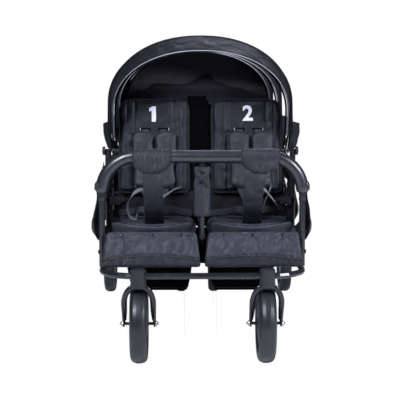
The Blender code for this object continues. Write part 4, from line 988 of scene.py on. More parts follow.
def harness(row, side, sign, target, place):
    """Five-point harness: slots, shoulder pads, webbing, buckle and waist straps."""
    tag, body = "row%d_harness_%s" % (row, side), "row%d_back" % row
    shift = HARNESS_SHIFT.get((side, row), 0.0)
    slot_y = 0.062
    pieces = []
    for way, _ in WAYS:
        x = way * 0.031 + shift * 0.5
        face = on_top(target, x, slot_y).z
        slit = [Vector((x - 0.017 + 0.034 * k / 8, slot_y, face + 0.0002)) for k in range(9)]
        pieces.append(sweep("slit", moved(slit, place), oval(0.0085, 0.0016, 12), BLACK_CLOTH_PAINTED_SHADE,
                            side=(0, 0.2, 1)))
        for rim in (-0.0048, 0.0048):
            edge = [p + Vector((0, rim, 0.0006)) for p in slit]
            pieces.append(sweep("binding", moved(edge, place), circle(0.0011, 6), EDGING))
        tack = [(x + way * 0.0175, slot_y + rim, face + 0.0008) for rim in (-0.0045, 0.0045)]
        pieces.append(sweep("tack", moved(tack, place), circle(0.0012, 6), PIPING))
        web = [(x, slot_y, face - 0.002), (x, slot_y - 0.004, face + 0.003),
               (x * 0.98 + shift * 0.4, slot_y - 0.03, face + 0.0065),
               (way * 0.036 + shift, slot_y - 0.06, face + 0.006)]
        pieces.append(strap("web", moved(web, place)))
    ride_joined(tag + "_slots", pieces, body, "cushion")
    for way, label in WAYS:
        pad = shoulder_pad("%s_shoulder_%s" % (tag, label), way * 0.0365 + shift, place, slot_y - 0.007,
                           target, way)
        ride(pad, body, "cushion")
    back_y = hinge(row).y
    buckle = Vector((sign * SEAT_X + shift, back_y - 0.135, CUSHION_TOP + 0.030))

    def near(*offset):
        return buckle + Vector(offset)

    for way, label in WAYS:
        start = place @ Vector((way * 0.037 + shift, slot_y - 0.200, 0.028))
        web = strap("%s_lower_%s" % (tag, label), [
            start + Vector((0, 0.002, 0.010)), start + Vector((-way * 0.002, -0.012, -0.012)),
            buckle.lerp(start, 0.45) + Vector((0, -0.006, -0.004)), near(way * 0.014, 0.004, 0.006)])
        bridge(web, body, buckle, start)
    pieces = []
    for way, _ in WAYS:
        far = Vector((sign * SEAT_X + way * 0.124, back_y - 0.048, CUSHION_TOP + 0.012))
        pieces.append(strap("waist", [near(way * 0.018, 0.002, -0.002), near(way * 0.050, 0.012, 0.004),
                                      near(way * 0.088, 0.045, -0.008), far], side=(0.15, 0.35, 1)))
    shell = ((-0.002, -0.021), (-0.006, -0.010), (-0.007, 0.006), (-0.005, 0.021))
    pieces.append(sweep(
        "buckle", [near(0, y, z) for y, z in shell], oval(0.040, 0.015, 20, 3.2), PLASTIC, side=(1, 0, 0),
        scale=lambda t: (0.88 + 0.36 * sin(pi * t) * (1 - t), 0.7 + 0.3 * sin(pi * t))))
    pieces.append(turned("button", [(-0.004, 0.0085), (0.002, 0.0085), (0.0035, 0.0068)],
                         near(0, -0.0135, 0.002), PLASTIC, 24, axis="Y"))
    crotch = [near(0, -0.002, -0.014), near(0, -0.012, -0.024), near(0, -0.02, -0.029)]
    pieces.append(strap("crotch", crotch, 0.024))
    ride_joined(tag + "_buckle", pieces, "root", "cushion")


def loose_webbing():
    """The grey adjuster tails that lie in the first row's seats, as (x, y from the hinge, z)."""
    y = hinge(1).y
    tails = {
        "left_loop": (0.012, [(-0.176, -0.090, 0.498), (-0.196, -0.120, 0.520), (-0.222, -0.140, 0.512),
                              (-0.243, -0.146, 0.478), (-0.240, -0.148, 0.438), (-0.222, -0.138, 0.424),
                              (-0.212, -0.122, 0.436)]),
        "left_tail": (0.013, [(-0.128, -0.100, 0.494), (-0.108, -0.114, 0.508), (-0.088, -0.120, 0.522),
                              (-0.066, -0.108, 0.528)]),
        "right_tail_a": (0.0075, [(0.205, -0.098, 0.528), (0.222, -0.120, 0.510), (0.246, -0.128, 0.480),
                                  (0.262, -0.118, 0.452)]),
        "right_tail_b": (0.0065, [(0.236, -0.104, 0.538), (0.228, -0.124, 0.512), (0.214, -0.130, 0.482),
                                  (0.208, -0.118, 0.452)]),
    }
    for name, (wide, points) in tails.items():
        web = strap("row1_webbing_" + name, [(x, y + back, z) for x, back, z in points], wide, WEBBING,
                    side=lambda t: (0.25, 0.5, 0.9 - t))
        ride(web, "root", "cushion")
        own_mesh(web)


# Calf rests

CALF_X = 0.161


def calf_rests():
    half, long, top = 0.1565, 0.052, 0.064
    outline = rounded_outline([(0.1435, top), (-0.1435, top), (-half, -long), (half, -long)],
                              [0.018, 0.018, 0.010, 0.010])
    body = puff(slab(outline, -0.0085, 0.0085), 0.0045, 3.0, 0.008, held=lambda p: (
        abs(p.x) > half - 0.012 or p.y < -long + 0.010 or p.y > top - 0.008))
    snaps = (-0.0945, -0.003, 0.0925)
    snap_y = 0.051

    def arc(x):
        return -0.030 + 0.014 * cos(min(abs(x) / half, 1) * pi / 2)

    def depth(p, n):
        if n.z < 0.1:
            return 0
        ahead = p.y - arc(p.x)
        total = 0.0046 * dent(ahead, 0.0045) + 0.0016 * grain(p.x * 26, p.y * 12, 4.1)
        total += 0.0010 * sin(p.x * 260 + 5 * noise.noise(p * 14)) * dent(ahead - 0.006, 0.012)
        for x in snaps:
            d = Vector((p.x - x, p.y - snap_y))
            rays = cos(atan2(d.x, -d.y) * 7 + x * 40) * (p.y < snap_y + 0.01)
            total += 0.0045 * dent(d.length, 0.011) + 0.0018 * rays * dent(d.length - 0.026, 0.022)
        return total

    press(body, depth, -0.0118, 0.0165)
    body.data.materials.append(CALF_CLOTH)
    body.data.materials.append(BACK_CLOTH_PAINTED_SHADE)
    # Faces below the seam and faces turned down take the darker back cloth: painted shade on the calf
    # rest's underside.
    for face in body.data.polygons:
        if face.center.y < arc(face.center.x) - 0.001 or face.normal.z < -0.3:
            face.material_index = 1
    seam = []
    for k in range(61):
        share = 2 * k / 60 - 1
        seam.append(on_top(body, (half - 0.006) * share, arc(half * share) + 0.0035, 0.0003))
    tilt = atan2(0.096, 0.050)
    for side, sign in SIDES.items():
        place = Matrix.Translation((sign * CALF_X, FRONT_AXLE + 0.011, 0.354))
        place = place @ Matrix.Rotation(tilt, 4, "X") @ Matrix.Scale(sign, 4, (1, 0, 0))
        rest = copy_of(body, "calf_rest_" + side, place, flip=sign < 0)
        ride(rest, "root", "cushion")
        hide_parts("calf_pad_" + side)
        pieces = [stitches("calf_seam_" + side, moved(seam, place))]
        for x in snaps:
            cap = turned("snap", [(-0.002, 0.0058), (0.0008, 0.0060), (0.0019, 0.0048), (0.0024, 0.0024)],
                         (0, 0, 0), SNAP, 24, axis="Z")
            cap.data.transform(place @ Matrix.Translation(on_top(body, x, snap_y)))
            pieces.append(cap)
        ride_joined("calf_trim_" + side, pieces, "root", "cushion")
    bpy.data.objects.remove(body, do_unlink=True)


# Bumper bars

# Row 1's wraps, as (middle, ribbed), and crotch covers, where they aren't over the seats' middles
WRAP_X = {("left", 1): (-0.159, 1), ("right", 1): (0.185, 0)}
COVER_X = {("left", 1): -0.155, ("right", 1): 0.163}
BAR_FOOT_Z = 0.5365
BAR_BEND = 0.11
WRAP_WIDTH = 0.122


def bars():
    for row in ROWS:
        y, body = bar_y(row), "row%d_bar" % row
        corners = [(-BAR_X, y, BAR_FOOT_Z), (-BAR_X, y, BAR_Z), (BAR_X, y, BAR_Z), (BAR_X, y, BAR_FOOT_Z)]
        line = spaced(rounded(corners, [BAR_BEND] * 2, 14), 0.009, closed=False)
        foam = sweep(body + "_foam", line, circle(FOAM_R, 28), FOAM, side=(0, 1, 0),
                     scale=narrowed(0.14, 0.006))
        ride(foam, body, "foam")
        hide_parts("row%d_bumper_bar" % row)
        pieces = []
        for sign in (-1, 1):
            x = sign * BAR_X
            pieces.append(turned("collar", [(0.5304, 0.0118), (0.5312, 0.0125), (0.5395, 0.0125),
                                            (0.5402, 0.0118)], (x, y, 0), PLASTIC, 32, axis="Z"))
            pieces.append(turned("plug", [(0.4905, 0.005), (0.4925, 0.0062), (0.532, 0.0062)],
                                 (x, y, 0), PLASTIC, 24, axis="Z"))
            catch = ((0.003, 0.5415), (0.0042, 0.548), (0.0042, 0.560), (0.003, 0.5675))
            catch = [(x + sign * out, y, z) for out, z in catch]
            pieces.append(sweep("catch", catch, oval(0.0345, 0.038, 20, 3.0), PLASTIC, side=(0, 1, 0),
                                scale=lambda t: (0.72 + 0.28 * sin(pi * t), 0.8 + 0.2 * sin(pi * t))))
            pieces.append(turned("release", [(0.016, 0.0070), (0.0215, 0.0070), (0.0230, 0.0052)],
                                 (x, y, 0.5492), PLASTIC, 28, sign))
        ride_joined(body + "_ends", pieces, body, "foam")
        for side, sign in SIDES.items():
            centre, ribbed = WRAP_X.get((side, row), (sign * 0.166, (row + sign) % 2))
            bar_wrap(row, side, centre, ribbed)
            crotch_cover(row, side, COVER_X.get((side, row), sign * 0.158), centre)


def bar_wrap(row, side, centre, ribbed):
    """A cloth sleeve fastened round the bar, with a rounded pouch that hangs below it."""
    body, y = "row%d_bar" % row, bar_y(row)
    columns, around = 56, 44

    def point(t, turn):
        x = centre - WRAP_WIDTH / 2 + WRAP_WIDTH * t
        u, a = 2 * t - 1, 2 * pi * turn
        end = dent(1 - abs(u), 0.045)
        below = max(0.0, cos(a - pi * 0.93)) ** 5
        r = FOAM_R + 0.0046 - 0.0022 * end + 0.0012 * grain(x * 40, a * 1.6, row)
        if ribbed:
            r += 0.0016 * sin(u * 27 + 0.4 * sin(a * 2)) * (1 - end) * (0.35 + 0.65 * max(0, cos(a - 0.5)))
        r += 0.030 * below * max(0.0, 1 - abs(u * 1.02) ** 2.6)
        r += 0.0016 * sin(u * 16 + a * 3) * below * (1 - end)
        return Vector((x, y - r * sin(a), BAR_Z + r * cos(a)))

    rows = mapped_rows(columns, around, point, closed=True)
    wrap = grid("row%d_bar_wrap_%s" % (row, side), rows, PAD_CLOTH, closed=True)
    thicken(wrap, 0.0022, offset=-1)
    ride(wrap, body, "cushion")
    trims = [sweep("hem", rows[k], circle(0.0011, 6), EDGING, closed=True) for k in (1, columns - 1)]
    fold = [rows[i][int(around * 0.36)] + Vector((0, -0.0004, 0)) for i in range(3, columns - 2)]
    trims.append(stitches("fold", fold, EDGING, 0.004))
    ride_joined("row%d_bar_trim_%s" % (row, side), trims, body, "cushion")


def crotch_cover(row, side, x, top_x):
    """The padded strap that runs from the bar's wrap down and back to the seat."""
    y = bar_y(row)
    top_x = x + (top_x - x) * 0.3
    start, end = (x, y + 0.128, 0.4185), (top_x, y - 0.01, 0.60)
    points = [(top_x, y - 0.004, 0.612), (top_x, y - 0.010, 0.585), (x, y + 0.004, 0.545),
              (x, y + 0.038, 0.490), (x, y + 0.078, 0.447), (x, y + 0.112, 0.4215), start]
    line = spaced(through(points, 10), 0.0065, closed=False)

    def scale(t):
        tip = dome((1 - t) / 0.05)
        pinch = 1 - 0.18 * dent(t - 0.45, 0.05)
        return (1 - 0.06 * sin(pi * t)) * (0.8 + 0.2 * tip), (0.45 + 0.55 * tip) * pinch

    cover = subdivide(sweep("row%d_crotch_cover_%s" % (row, side), line, oval(0.066, 0.013, 24, 3.4),
                            PAD_CLOTH, side=(1, 0, 0), scale=scale))
    for v in cover.data.vertices:
        v.co += wobble(v.co, 0.025, 0.0022, row + x)
        v.co.z += 0.0006 * sin(v.co.x * 420)
    bridge(cover, "row%d_bar" % row, start, end)
    edges = []
    for way in (-0.0255, 0.0255):
        edge = [p + Vector((way, 0, 0)) for p in line[2:-2]]
        lifted = []
        for before, p, after in zip(edge[:1] + edge, edge, edge[1:] + edge[-1:]):
            n = Vector((1, 0, 0)).cross((after - before).normalized())
            lifted.append(p + (n if n.y < 0 or n.z > 0 else -n) * 0.0066)
        edges.append(stitches("edge", lifted))
    seam = join("row%d_crotch_seam_%s" % (row, side), edges)
    bridge(seam, "row%d_bar" % row, start, end)


def centre_sleeves():
    """The post between the seats, its flat padded sleeve and the strap knotted round its top."""
    for row in ROWS:
        y = bar_y(row)
        corners = [(0, y + 0.035, 0.3562), (0, y + 0.035, 0.363), (0, y, 0.392), (0, y, 0.6268)]
        post = sweep("row%d_post" % row, rounded(corners, [0.008, 0.02], 6), circle(0.0085, 20), TUBE,
                     side=(1, 0, 0))
        ride(post, "root", "tube")
        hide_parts("row%d_centre_post" % row)

        def point(t, turn):
            a = 2 * pi * turn
            pinch = 1 - 0.10 * dent(t - 0.80, 0.06) - 0.08 * dent(t, 0.03) - 0.10 * dent(t - 1, 0.03)
            flute = 1 + 0.035 * sin(a * 9 + t * 5) * (0.4 + 0.6 * t)
            return Vector((0.0262 * cos(a) * pinch + 0.0010 * grain(a, t * 9, row),
                           y + 0.0122 * sin(a) * pinch * flute + 0.0016 * grain(a * 1.5, t * 7, row + 5),
                           0.460 + 0.157 * t))

        rows = mapped_rows(40, 36, point, closed=True)
        sleeve = grid("row%d_sleeve" % row, rows, PAD_CLOTH, closed=True)
        thicken(sleeve, 0.002, offset=-1)
        ride(sleeve, "root", "cushion")
        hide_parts("row%d_centre_post" % row)
        trims = [stitches("seam", [line[27] + Vector((0, -0.0006, 0)) for line in rows])]
        trims += [sweep("hem", rows[k], circle(0.0014, 6), EDGING, closed=True) for k in (0, -1)]
        for lean, wide, points in (
                (0.5, 0.012, [(-0.020, 0.0150, 0.600), (-0.008, 0.0185, 0.590), (0.006, 0.0190, 0.578),
                              (0.017, 0.0155, 0.565), (0.022, 0.0125, 0.552)]),
                (-0.5, 0.011, [(0.019, 0.0150, 0.604), (0.008, 0.0200, 0.592), (-0.006, 0.0205, 0.580),
                               (-0.016, 0.0150, 0.569)])):
            loop = [(x, y - out, z) for x, out, z in points]
            trims.append(strap("loop", loop, wide, side=(lean, 0, 0.9)))
        ride_joined("row%d_sleeve_trim" % row, trims, "root", "cushion")


# Hoods: each bow's angle ahead of the vertical, its radius and its half width

FRONT_ANGLE, MID_ANGLE, REAR_ANGLE = 22, 4, -15
BOWS = {FRONT_ANGLE: (0.3765, 0.2965), MID_ANGLE: (0.3920, 0.3085), REAR_ANGLE: (0.3965, 0.3185)}
HOOD_OVERHANG = 2.5
HOOD_LOW = 0.057
ARCH = 0.228
QUARTER = 1.22 * ARCH
FULLNESS = 0.93
CURTAIN_LOW = 0.195
DRAPE_LOW = 0.362
DRAPE_Y = 0.6195


def bow_point(c, angle, t, low=HOOD_LOW, shrink=0.0):
    """A point on the hood at an angle ahead of the vertical, a share t of the way over from the left."""
    end = FRONT_ANGLE if angle >= MID_ANGLE else REAR_ANGLE
    f = (angle - MID_ANGLE) / (end - MID_ANGLE)
    radius, half = (a + (b - a) * f - shrink for a, b in zip(BOWS[MID_ANGLE], BOWS[end]))
    spring = radius - ARCH
    straight = max(spring - low, 0.0)
    s = (1 - abs(2 * t - 1)) * (straight + QUARTER)
    if s < straight:
        x, r = half, low + s
    else:
        turn = (s - straight) / QUARTER * pi / 2
        x, r = half * max(cos(turn), 0) ** FULLNESS, spring + ARCH * sin(turn) ** FULLNESS
    a = radians(angle)
    return Vector((-x if t < 0.5 else x, c.y - r * sin(a), c.z + r * cos(a)))


def hood_cloth(name, c, low_angle, high_angle, sag, seed, inner):
    """Cloth stretched between two bows, drawn in a little, with light tension folds and an inner face; on
    the rear cloths that face is the lining, painted light as if lit through the cloth.
    """
    def point(f, t):
        p = bow_point(c, low_angle + (high_angle - low_angle) * f, t)
        inward = c - p
        inward.x *= 0.9
        slack = sin(pi * f)
        depth = sag * slack ** 1.2 + 0.0022 * slack * grain(t * 26, f * 2, seed)
        folds = sin(t * 160 + 3 * grain(t * 9, f, seed)) * (dent(f, 0.3) + dent(f - 1, 0.3))
        depth += 0.0012 * slack * folds
        return p + inward.normalized() * depth

    points = mapped_rows(18, 96, point)
    cloth = cloth_sheet(grid(name, points, HOOD_CLOTH_PAINTED_SHADE))
    cloth.data.materials.append(inner)
    # Faces turned toward the hood's middle take the inner material, which on the rear cloths is the
    # painted-light lining.
    for face in cloth.data.polygons:
        toward = c + Vector((0, 0, 0.05)) - face.center
        toward.x *= 0.9
        face.material_index = 1 if face.normal.dot(toward) > 0 else 0
    return cloth, points


def hoods():
    for row in ROWS:
        c = pivot(row)
        mid, front = "row%d_hood_mid" % row, "row%d_hood_front_body" % row
        start, middle, end = (bow_point(c, angle, 0.5) for angle in (REAR_ANGLE, MID_ANGLE, FRONT_ANGLE))
        cloth, rear = hood_cloth("row%d_hood_rear_cloth" % row, c, REAR_ANGLE, MID_ANGLE, 0.005, row,
                                 LINING_PAINTED_LIGHT)
        bridge(cloth, mid, start, middle)
        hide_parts("row%d_hood_rear" % row)
        cloth, ahead = hood_cloth("row%d_hood_front_cloth" % row, c, MID_ANGLE, FRONT_ANGLE + HOOD_OVERHANG,
                                  0.004, row + 9, HOOD_CLOTH_PAINTED_SHADE)
        bridge(cloth, front, middle, end)
        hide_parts("row%d_hood_front" % row)
        hood_trim(row, c, rear, ahead)
        hood_bows(row, c)
        hood_skirt(row, c)
        if row > 1:
            hood_facing(row, c)


def hood_trim(row, c, rear, ahead):
    """Piping on the front edge, bound seams over the bows, and their stitches."""
    front = "row%d_hood_front_body" % row

    def raised(line, height):
        return [p + (p - c).normalized() * height for p in line]

    edge = raised(ahead[-1], 0.0004)
    piping = [p + Vector((0, -0.0016, 0)) for p in edge]
    ride(sweep("row%d_hood_piping" % row, piping, circle(0.0019, 8), PIPING), front, "hood")
    hem = [stitches("hem", raised(ahead[i], 0.0010), length=0.005) for i in (15, 16)]
    hem.append(sweep("binding", edge, oval(0.009, 0.0030, 10, 3.0), EDGING, side=(0, 1, 0.4)))
    ride_joined("row%d_hood_hem" % row, hem, front, "hood")
    tape = sweep("row%d_hood_mid_tape" % row, raised(rear[-1], 0.0012), oval(0.011, 0.0020, 10, 3.0),
                 EDGING, side=(0, 1, 0.07))
    ride(tape, "row%d_hood_mid" % row, "hood")
    back = raised(rear[0], 0.0010)
    tape = sweep("tape", back, oval(0.013, 0.0026, 10, 3.0), EDGING, side=(0, 1, -0.26))
    seam = stitches("back", [p + Vector((0, -0.008, 0.0012)) for p in back], length=0.005)
    ride_joined("row%d_hood_rear_tape" % row, [tape, seam], "root", "hood")


def hood_bows(row, c):
    """Wire bows under the cloth, each ending in an eye on the hood's pin."""
    for angle, eye_x, body, inset in ((REAR_ANGLE, 0.3020, "root", 0.0085),
                                      (MID_ANGLE, 0.2935, "row%d_hood_mid" % row, 0.0068),
                                      (FRONT_ANGLE, 0.2850, "row%d_hood_front_body" % row, 0.0068)):
        line = [bow_point(c, angle, k / 80, shrink=inset) for k in range(81)]
        a, low = radians(angle), line[0]
        down = [Vector((-eye_x, c.y - 0.006 * sin(a), c.z + 0.006 * cos(a))),
                Vector((-(eye_x + abs(low.x)) / 2, (low.y + c.y) / 2, (low.z + c.z) / 2))]
        up = [Vector((-p.x, p.y, p.z)) for p in reversed(down)]
        pieces = [sweep("bow", down + line + up, circle(0.0034, 10), BLACK_CLOTH_PAINTED_SHADE, side=(0, 1, 0))]
        half = [(0.0029, 0.0045), (0.0029, 0.0085), (0.002, 0.0092)]
        for sign in (-1, 1):
            pieces.append(lathe("eye", [(-p, r) for p, r in half] + half[::-1], (sign * eye_x, c.y, c.z),
                                PLASTIC, 32))
        bow = ride_joined("row%d_bow_%d" % (row, angle + 20), pieces, body, "tube")
        if angle == MID_ANGLE:
            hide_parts("row%d_hood_mid_bow" % row)
    knobs = [turned("knob", [(0.0105, 0.0150), (0.0165, 0.0150), (0.0190, 0.0130), (0.0198, 0.0080)],
                    (sign * BAR_X, c.y, c.z), PLASTIC, 36, sign) for sign in (-1, 1)]
    ride_joined("row%d_hood_knobs" % row, knobs, "root", "tube")


def hood_facing(row, c):
    """A wide near-black facing turned inward from the rear bow at the left side, its darkness painted
    shade.
    """
    def point(s, u):
        edge = bow_point(c, REAR_ANGLE, 0.34 * s, 0.02, shrink=0.002)
        fade = 1 - clamp((s - 0.62) / 0.38) ** 2
        into = Vector((0, edge.y, c.z + 0.10)) - edge
        into.y += 0.10 * (edge.y - c.y)
        p = edge + into.normalized() * (0.002 + 0.040 * u * fade)
        p.y += 0.034 * u + 0.003 * u * grain(s * 9, u * 2, row)
        return p

    strip = grid("row%d_hood_facing" % row, mapped_rows(40, 6, point), BLACK_CLOTH_PAINTED_SHADE)
    ride(cloth_sheet(strip), "root", "hood")


def hood_skirt(row, c):
    """The loose cloth flap at each side, below the rear bow, that stands out past the frame."""
    for side, sign in SIDES.items():
        def point(t, u):
            x = 0.3195 - 0.0165 * t + u * (0.0215 + 0.005 * sign) + 0.0045 * sin(pi * t) * u
            x += 0.0028 * grain(t * 4, u * 2, row * 3 + sign) * u
            return Vector((sign * x, c.y + 0.030 - 0.030 * t + 0.022 * u,
                           0.738 - 0.100 * t - 0.008 * u * (1 - t) + 0.012 * u * t))

        rows = mapped_rows(18, 12, point)
        flap = grid("row%d_hood_flap_%s" % (row, side), rows, HOOD_CLOTH_PAINTED_SHADE)
        ride(cloth_sheet(flap, HEAVY_CLOTH), "root", "hood")
        hem = rows[0] + [line[-1] for line in rows[1:]] + rows[-1][-2::-1]
        ride(sweep("row%d_flap_hem_%s" % (row, side), hem, circle(0.0017, 8), EDGING), "root", "hood")


def rear_cloths():
    """The curtain of the last hood in the lining, painted light as if lit through it, the dark cloth hung
    over it behind the seats, and its hem.
    """
    c = pivot(3)
    a = radians(REAR_ANGLE)
    bend = Vector((0, c.y - CURTAIN_LOW * sin(a), c.z + CURTAIN_LOW * cos(a)))

    def wall_y(z):
        """How far back the hung cloth stands at a height: in the bow's plane, then out behind the seats."""
        if z > bend.z:
            return bend.y + (z - bend.z) * tan(-a)
        s = min(1, (bend.z - z) / 0.055)
        return bend.y + (DRAPE_Y - bend.y) * s * (2 - s)

    def curtain_point(f, t):
        rim = bow_point(c, REAR_ANGLE, t, CURTAIN_LOW, shrink=0.004)
        p = rim.lerp(Vector((rim.x, bend.y, bend.z)), f)
        slack = sin(pi * f) * sin(pi * t)
        p.y -= 0.003 + 0.005 * slack * grain(t * 8, f * 5, 2) + 0.006 * slack * dent(t - 0.56, 0.012)
        return p

    rows = mapped_rows(24, 60, curtain_point)
    for i in range(1, 8):
        z = bend.z - 0.010 * i
        rows.append([Vector((p.x * (1 - 0.004 * i), wall_y(z) - 0.002, z)) for p in rows[24]])
    curtain = cloth_sheet(grid("hood_curtain", rows, LINING_PAINTED_LIGHT))
    ride(curtain, "root", "hood")
    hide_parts("row3_hood_rear")
    # The hung cloth's uneven top follows the edge of the curtain's painted light.
    tops = [(-1, 0.800), (-0.94, 0.804), (-0.74, 0.822), (-0.54, 0.851), (-0.19, 0.846), (0.17, 0.887),
            (0.25, 0.858), (0.52, 0.834), (0.88, 0.804), (1, 0.800)]

    def top_at(u):
        for (x0, z0), (x1, z1) in zip(tops, tops[1:]):
            if x0 <= u <= x1:
                return z0 + (z1 - z0) * ease((u - x0) / (x1 - x0))

    def drape_point(f, t):
        u = 2 * t - 1
        z = top_at(u) * (1 - f) + DRAPE_LOW * f
        x = u * (0.2905 + 0.0205 * ease((z - 0.66) / 0.07))
        y = wall_y(z) - 0.0075 * clamp((z - 0.70) / 0.06) - 0.009 * clamp((0.46 - z) / 0.10)
        y += (1 - abs(u) ** 6) * clamp((0.79 - z) / 0.12) * (
            0.0035 * sin(x * 70 + 2.2 * grain(x * 9, f * 2, 1)) * (0.3 + 0.7 * f)
            + 0.003 * grain(x * 30, f * 4, 6))
        return Vector((x, y, z))

    rows = mapped_rows(44, 96, drape_point)
    drape = cloth_sheet(grid("row3_back_cloth", rows, DRAPE_CLOTH))
    ride(drape, "root", "hood")
    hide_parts("row3_hood_rear")
    ride(sweep("row3_back_hem", rows[-1], oval(0.006, 0.003, 8), EDGING, side=(0, 0, 1)), "root", "hood")


# Side cloths, footwells and handle

def side_cloths():
    """Cloth walls sewn to the cushions: over the seat tube, out past the frame in a slack belly, and up."""
    bulge = ((0.0, 0.004), (0.10, 0.032), (0.26, 0.0405), (0.50, 0.033), (0.75, 0.021), (1.0, 0.0145))
    low = 0.3793
    for row in ROWS:
        y0, y1 = bar_y(row) + 0.017, pivot(row).y - 0.017
        for side, sign in SIDES.items():
            columns = []
            for k in range(49):
                u = k / 48
                middle = sin(pi * u)
                high = 0.545 + 0.055 * u - 0.030 * middle
                points = [(0.290, 0.3790, 0), (0.306, 0.3785, 0)]
                for share, out in bulge:
                    x = 0.3325 + (out - 0.0145) * (0.5 + 0.5 * middle)
                    points.append((x, low + (high - low) * share, 0))
                curve = through(points, 5)
                line = []
                for i, p in enumerate(curve):
                    loose = sin(pi * clamp((i / (len(curve) - 1) - 0.15) / 0.8))
                    x = p.x + loose * (0.0060 * grain(u * 5 + 3 * row, p.y * 9, sign)
                                       + 0.0022 * sin(u * 30 + 5 * grain(u * 3, p.y * 14, row)))
                    line.append(Vector((sign * x, y0 + (y1 - y0) * u, p.y)))
                columns.append(line)
            rows = [list(line) for line in zip(*columns)][::-1]
            name = "row%d_side_cloth_%s" % (row, side)
            wall = cloth_sheet(grid(name, rows, HOOD_CLOTH_PAINTED_SHADE), HEAVY_CLOTH)
            ride(wall, "root", "hood")
            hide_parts("row%d_cushion_%s" % (row, side))
            trims = [sweep("hem", line, oval(0.005, 0.0030, 8), EDGING, side=(0, 0.5, 1))
                     for line in (rows[0], [r[0] for r in rows], [r[-1] for r in rows])]
            for k in (2, 24, 46):
                top = rows[0][k]
                tab = ((0, 0.002), (-sign * 0.002, -0.010), (0, -0.024))
                tab = [top + Vector((x, 0, z)) for x, z in tab]
                trims.append(strap("tab", tab, 0.020, side=(0, 1, 0)))
                trims.append(turned("snap", [(0.0, 0.0060), (0.0016, 0.0060), (0.0028, 0.0040)],
                                    top + Vector((sign * 0.0015, 0, -0.012)), SNAP, 20, sign))
            ride_joined(name + "_trim", trims, "root", "hood")


def well_ring(cx, cy, t, seed):
    """One level of a footwell's wall, a share t of the way down."""
    slack = sin(pi * t)
    shrink = 0.018 * t ** 0.8 + 0.004 * t ** 8 - 0.0035 * slack
    half_x, half_y, z = 0.1175 - shrink, 0.0725 - shrink, 0.3285 - 0.166 * t
    outline = rounded_outline([(half_x, half_y), (-half_x, half_y), (-half_x, -half_y), (half_x, -half_y)],
                              [0.022] * 4, 4)
    ring = []
    for p in spaced([Vector((x, y, 0)) for x, y in outline], 0.0075):
        spot = Vector((cx + p.x, cy + p.y, z))
        ring.append(spot + wobble(spot, 0.05, 0.0035 * slack, seed))
    return ring


def footwells():
    """Soft tubs for the feet: bound rims, slack walls and a stiffened floor, hung on straps."""
    for row in (2, 3):
        cy = bar_y(row) - 0.09
        bags, trims = [], []
        for side, sign in SIDES.items():
            cx = sign * 0.142
            rows = [well_ring(cx, cy, i / 18, row) for i in range(19)]
            count = min(len(r) for r in rows)
            rows = [[r[int(k * len(r) / count)] for k in range(count)] for r in rows]
            base = rows[-1]
            for f in (0.92, 0.6, 0.3, 0.02):
                rows.append([Vector((cx + (p.x - cx) * f, cy + (p.y - cy) * f, p.z - 0.0010 * (1 - f)))
                             for p in base])
            bags.append(grid("well", rows, BLACK_CLOTH_PAINTED_SHADE, closed=True))
            trims.append(sweep("rim", rows[0], oval(0.010, 0.0046, 10, 3.0), EDGING, side=(0, 0, 1),
                               closed=True))
            trims.append(sweep("base", rows[17], circle(0.0016, 6), EDGING, closed=True))
        for bag, side in zip(bags, SIDES):
            bag.name = "row%d_footwell_%s" % (row, side)
            thicken(bag, 0.0024, offset=1)
            ride(bag, "root", "hood")
            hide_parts("row%d_footwell" % row)
        outer = [(0.2575, 0.326), (0.272, 0.3285), (0.290, 0.318), (0.303, 0.305)]
        inner = [(-0.026, 0.326), (0, 0.3245), (0.026, 0.326)]
        for way in (-0.045, 0.045):
            for line in ([(-x, z) for x, z in outer], outer, inner):
                trims.append(strap("strap", [(x, cy + way, z) for x, z in line], side=(0, 1, 0)))
        ride_joined("row%d_footwell_trim" % row, trims, "root", "hood")


def grip():
    """The foam sleeve on the push handle, with end rings."""
    centre = Vector((0, FRONT_AXLE + 1.54, 0.975))
    line = [centre + Vector((-0.205 + 0.41 * k / 60, 0, 0)) for k in range(61)]
    pieces = [sweep("grip_foam", line, circle(0.0158, 28), FOAM, side=(0, 1, 0),
                    scale=narrowed(0.10, 0.012))]
    ring = [(0.1985, 0.0150), (0.1995, 0.0162), (0.2045, 0.0162), (0.2055, 0.0148), (0.2055, 0.0096),
            (0.1985, 0.0096)]
    for sign in (-1, 1):
        pieces.append(lathe("ring", [(sign * a, r) for a, r in ring], centre, PLASTIC, 40))
    sleeve = join("grip_sleeve", pieces)
    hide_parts("handle_grip")
    ride(sleeve, "handle", "foam")


# The frame's own pieces

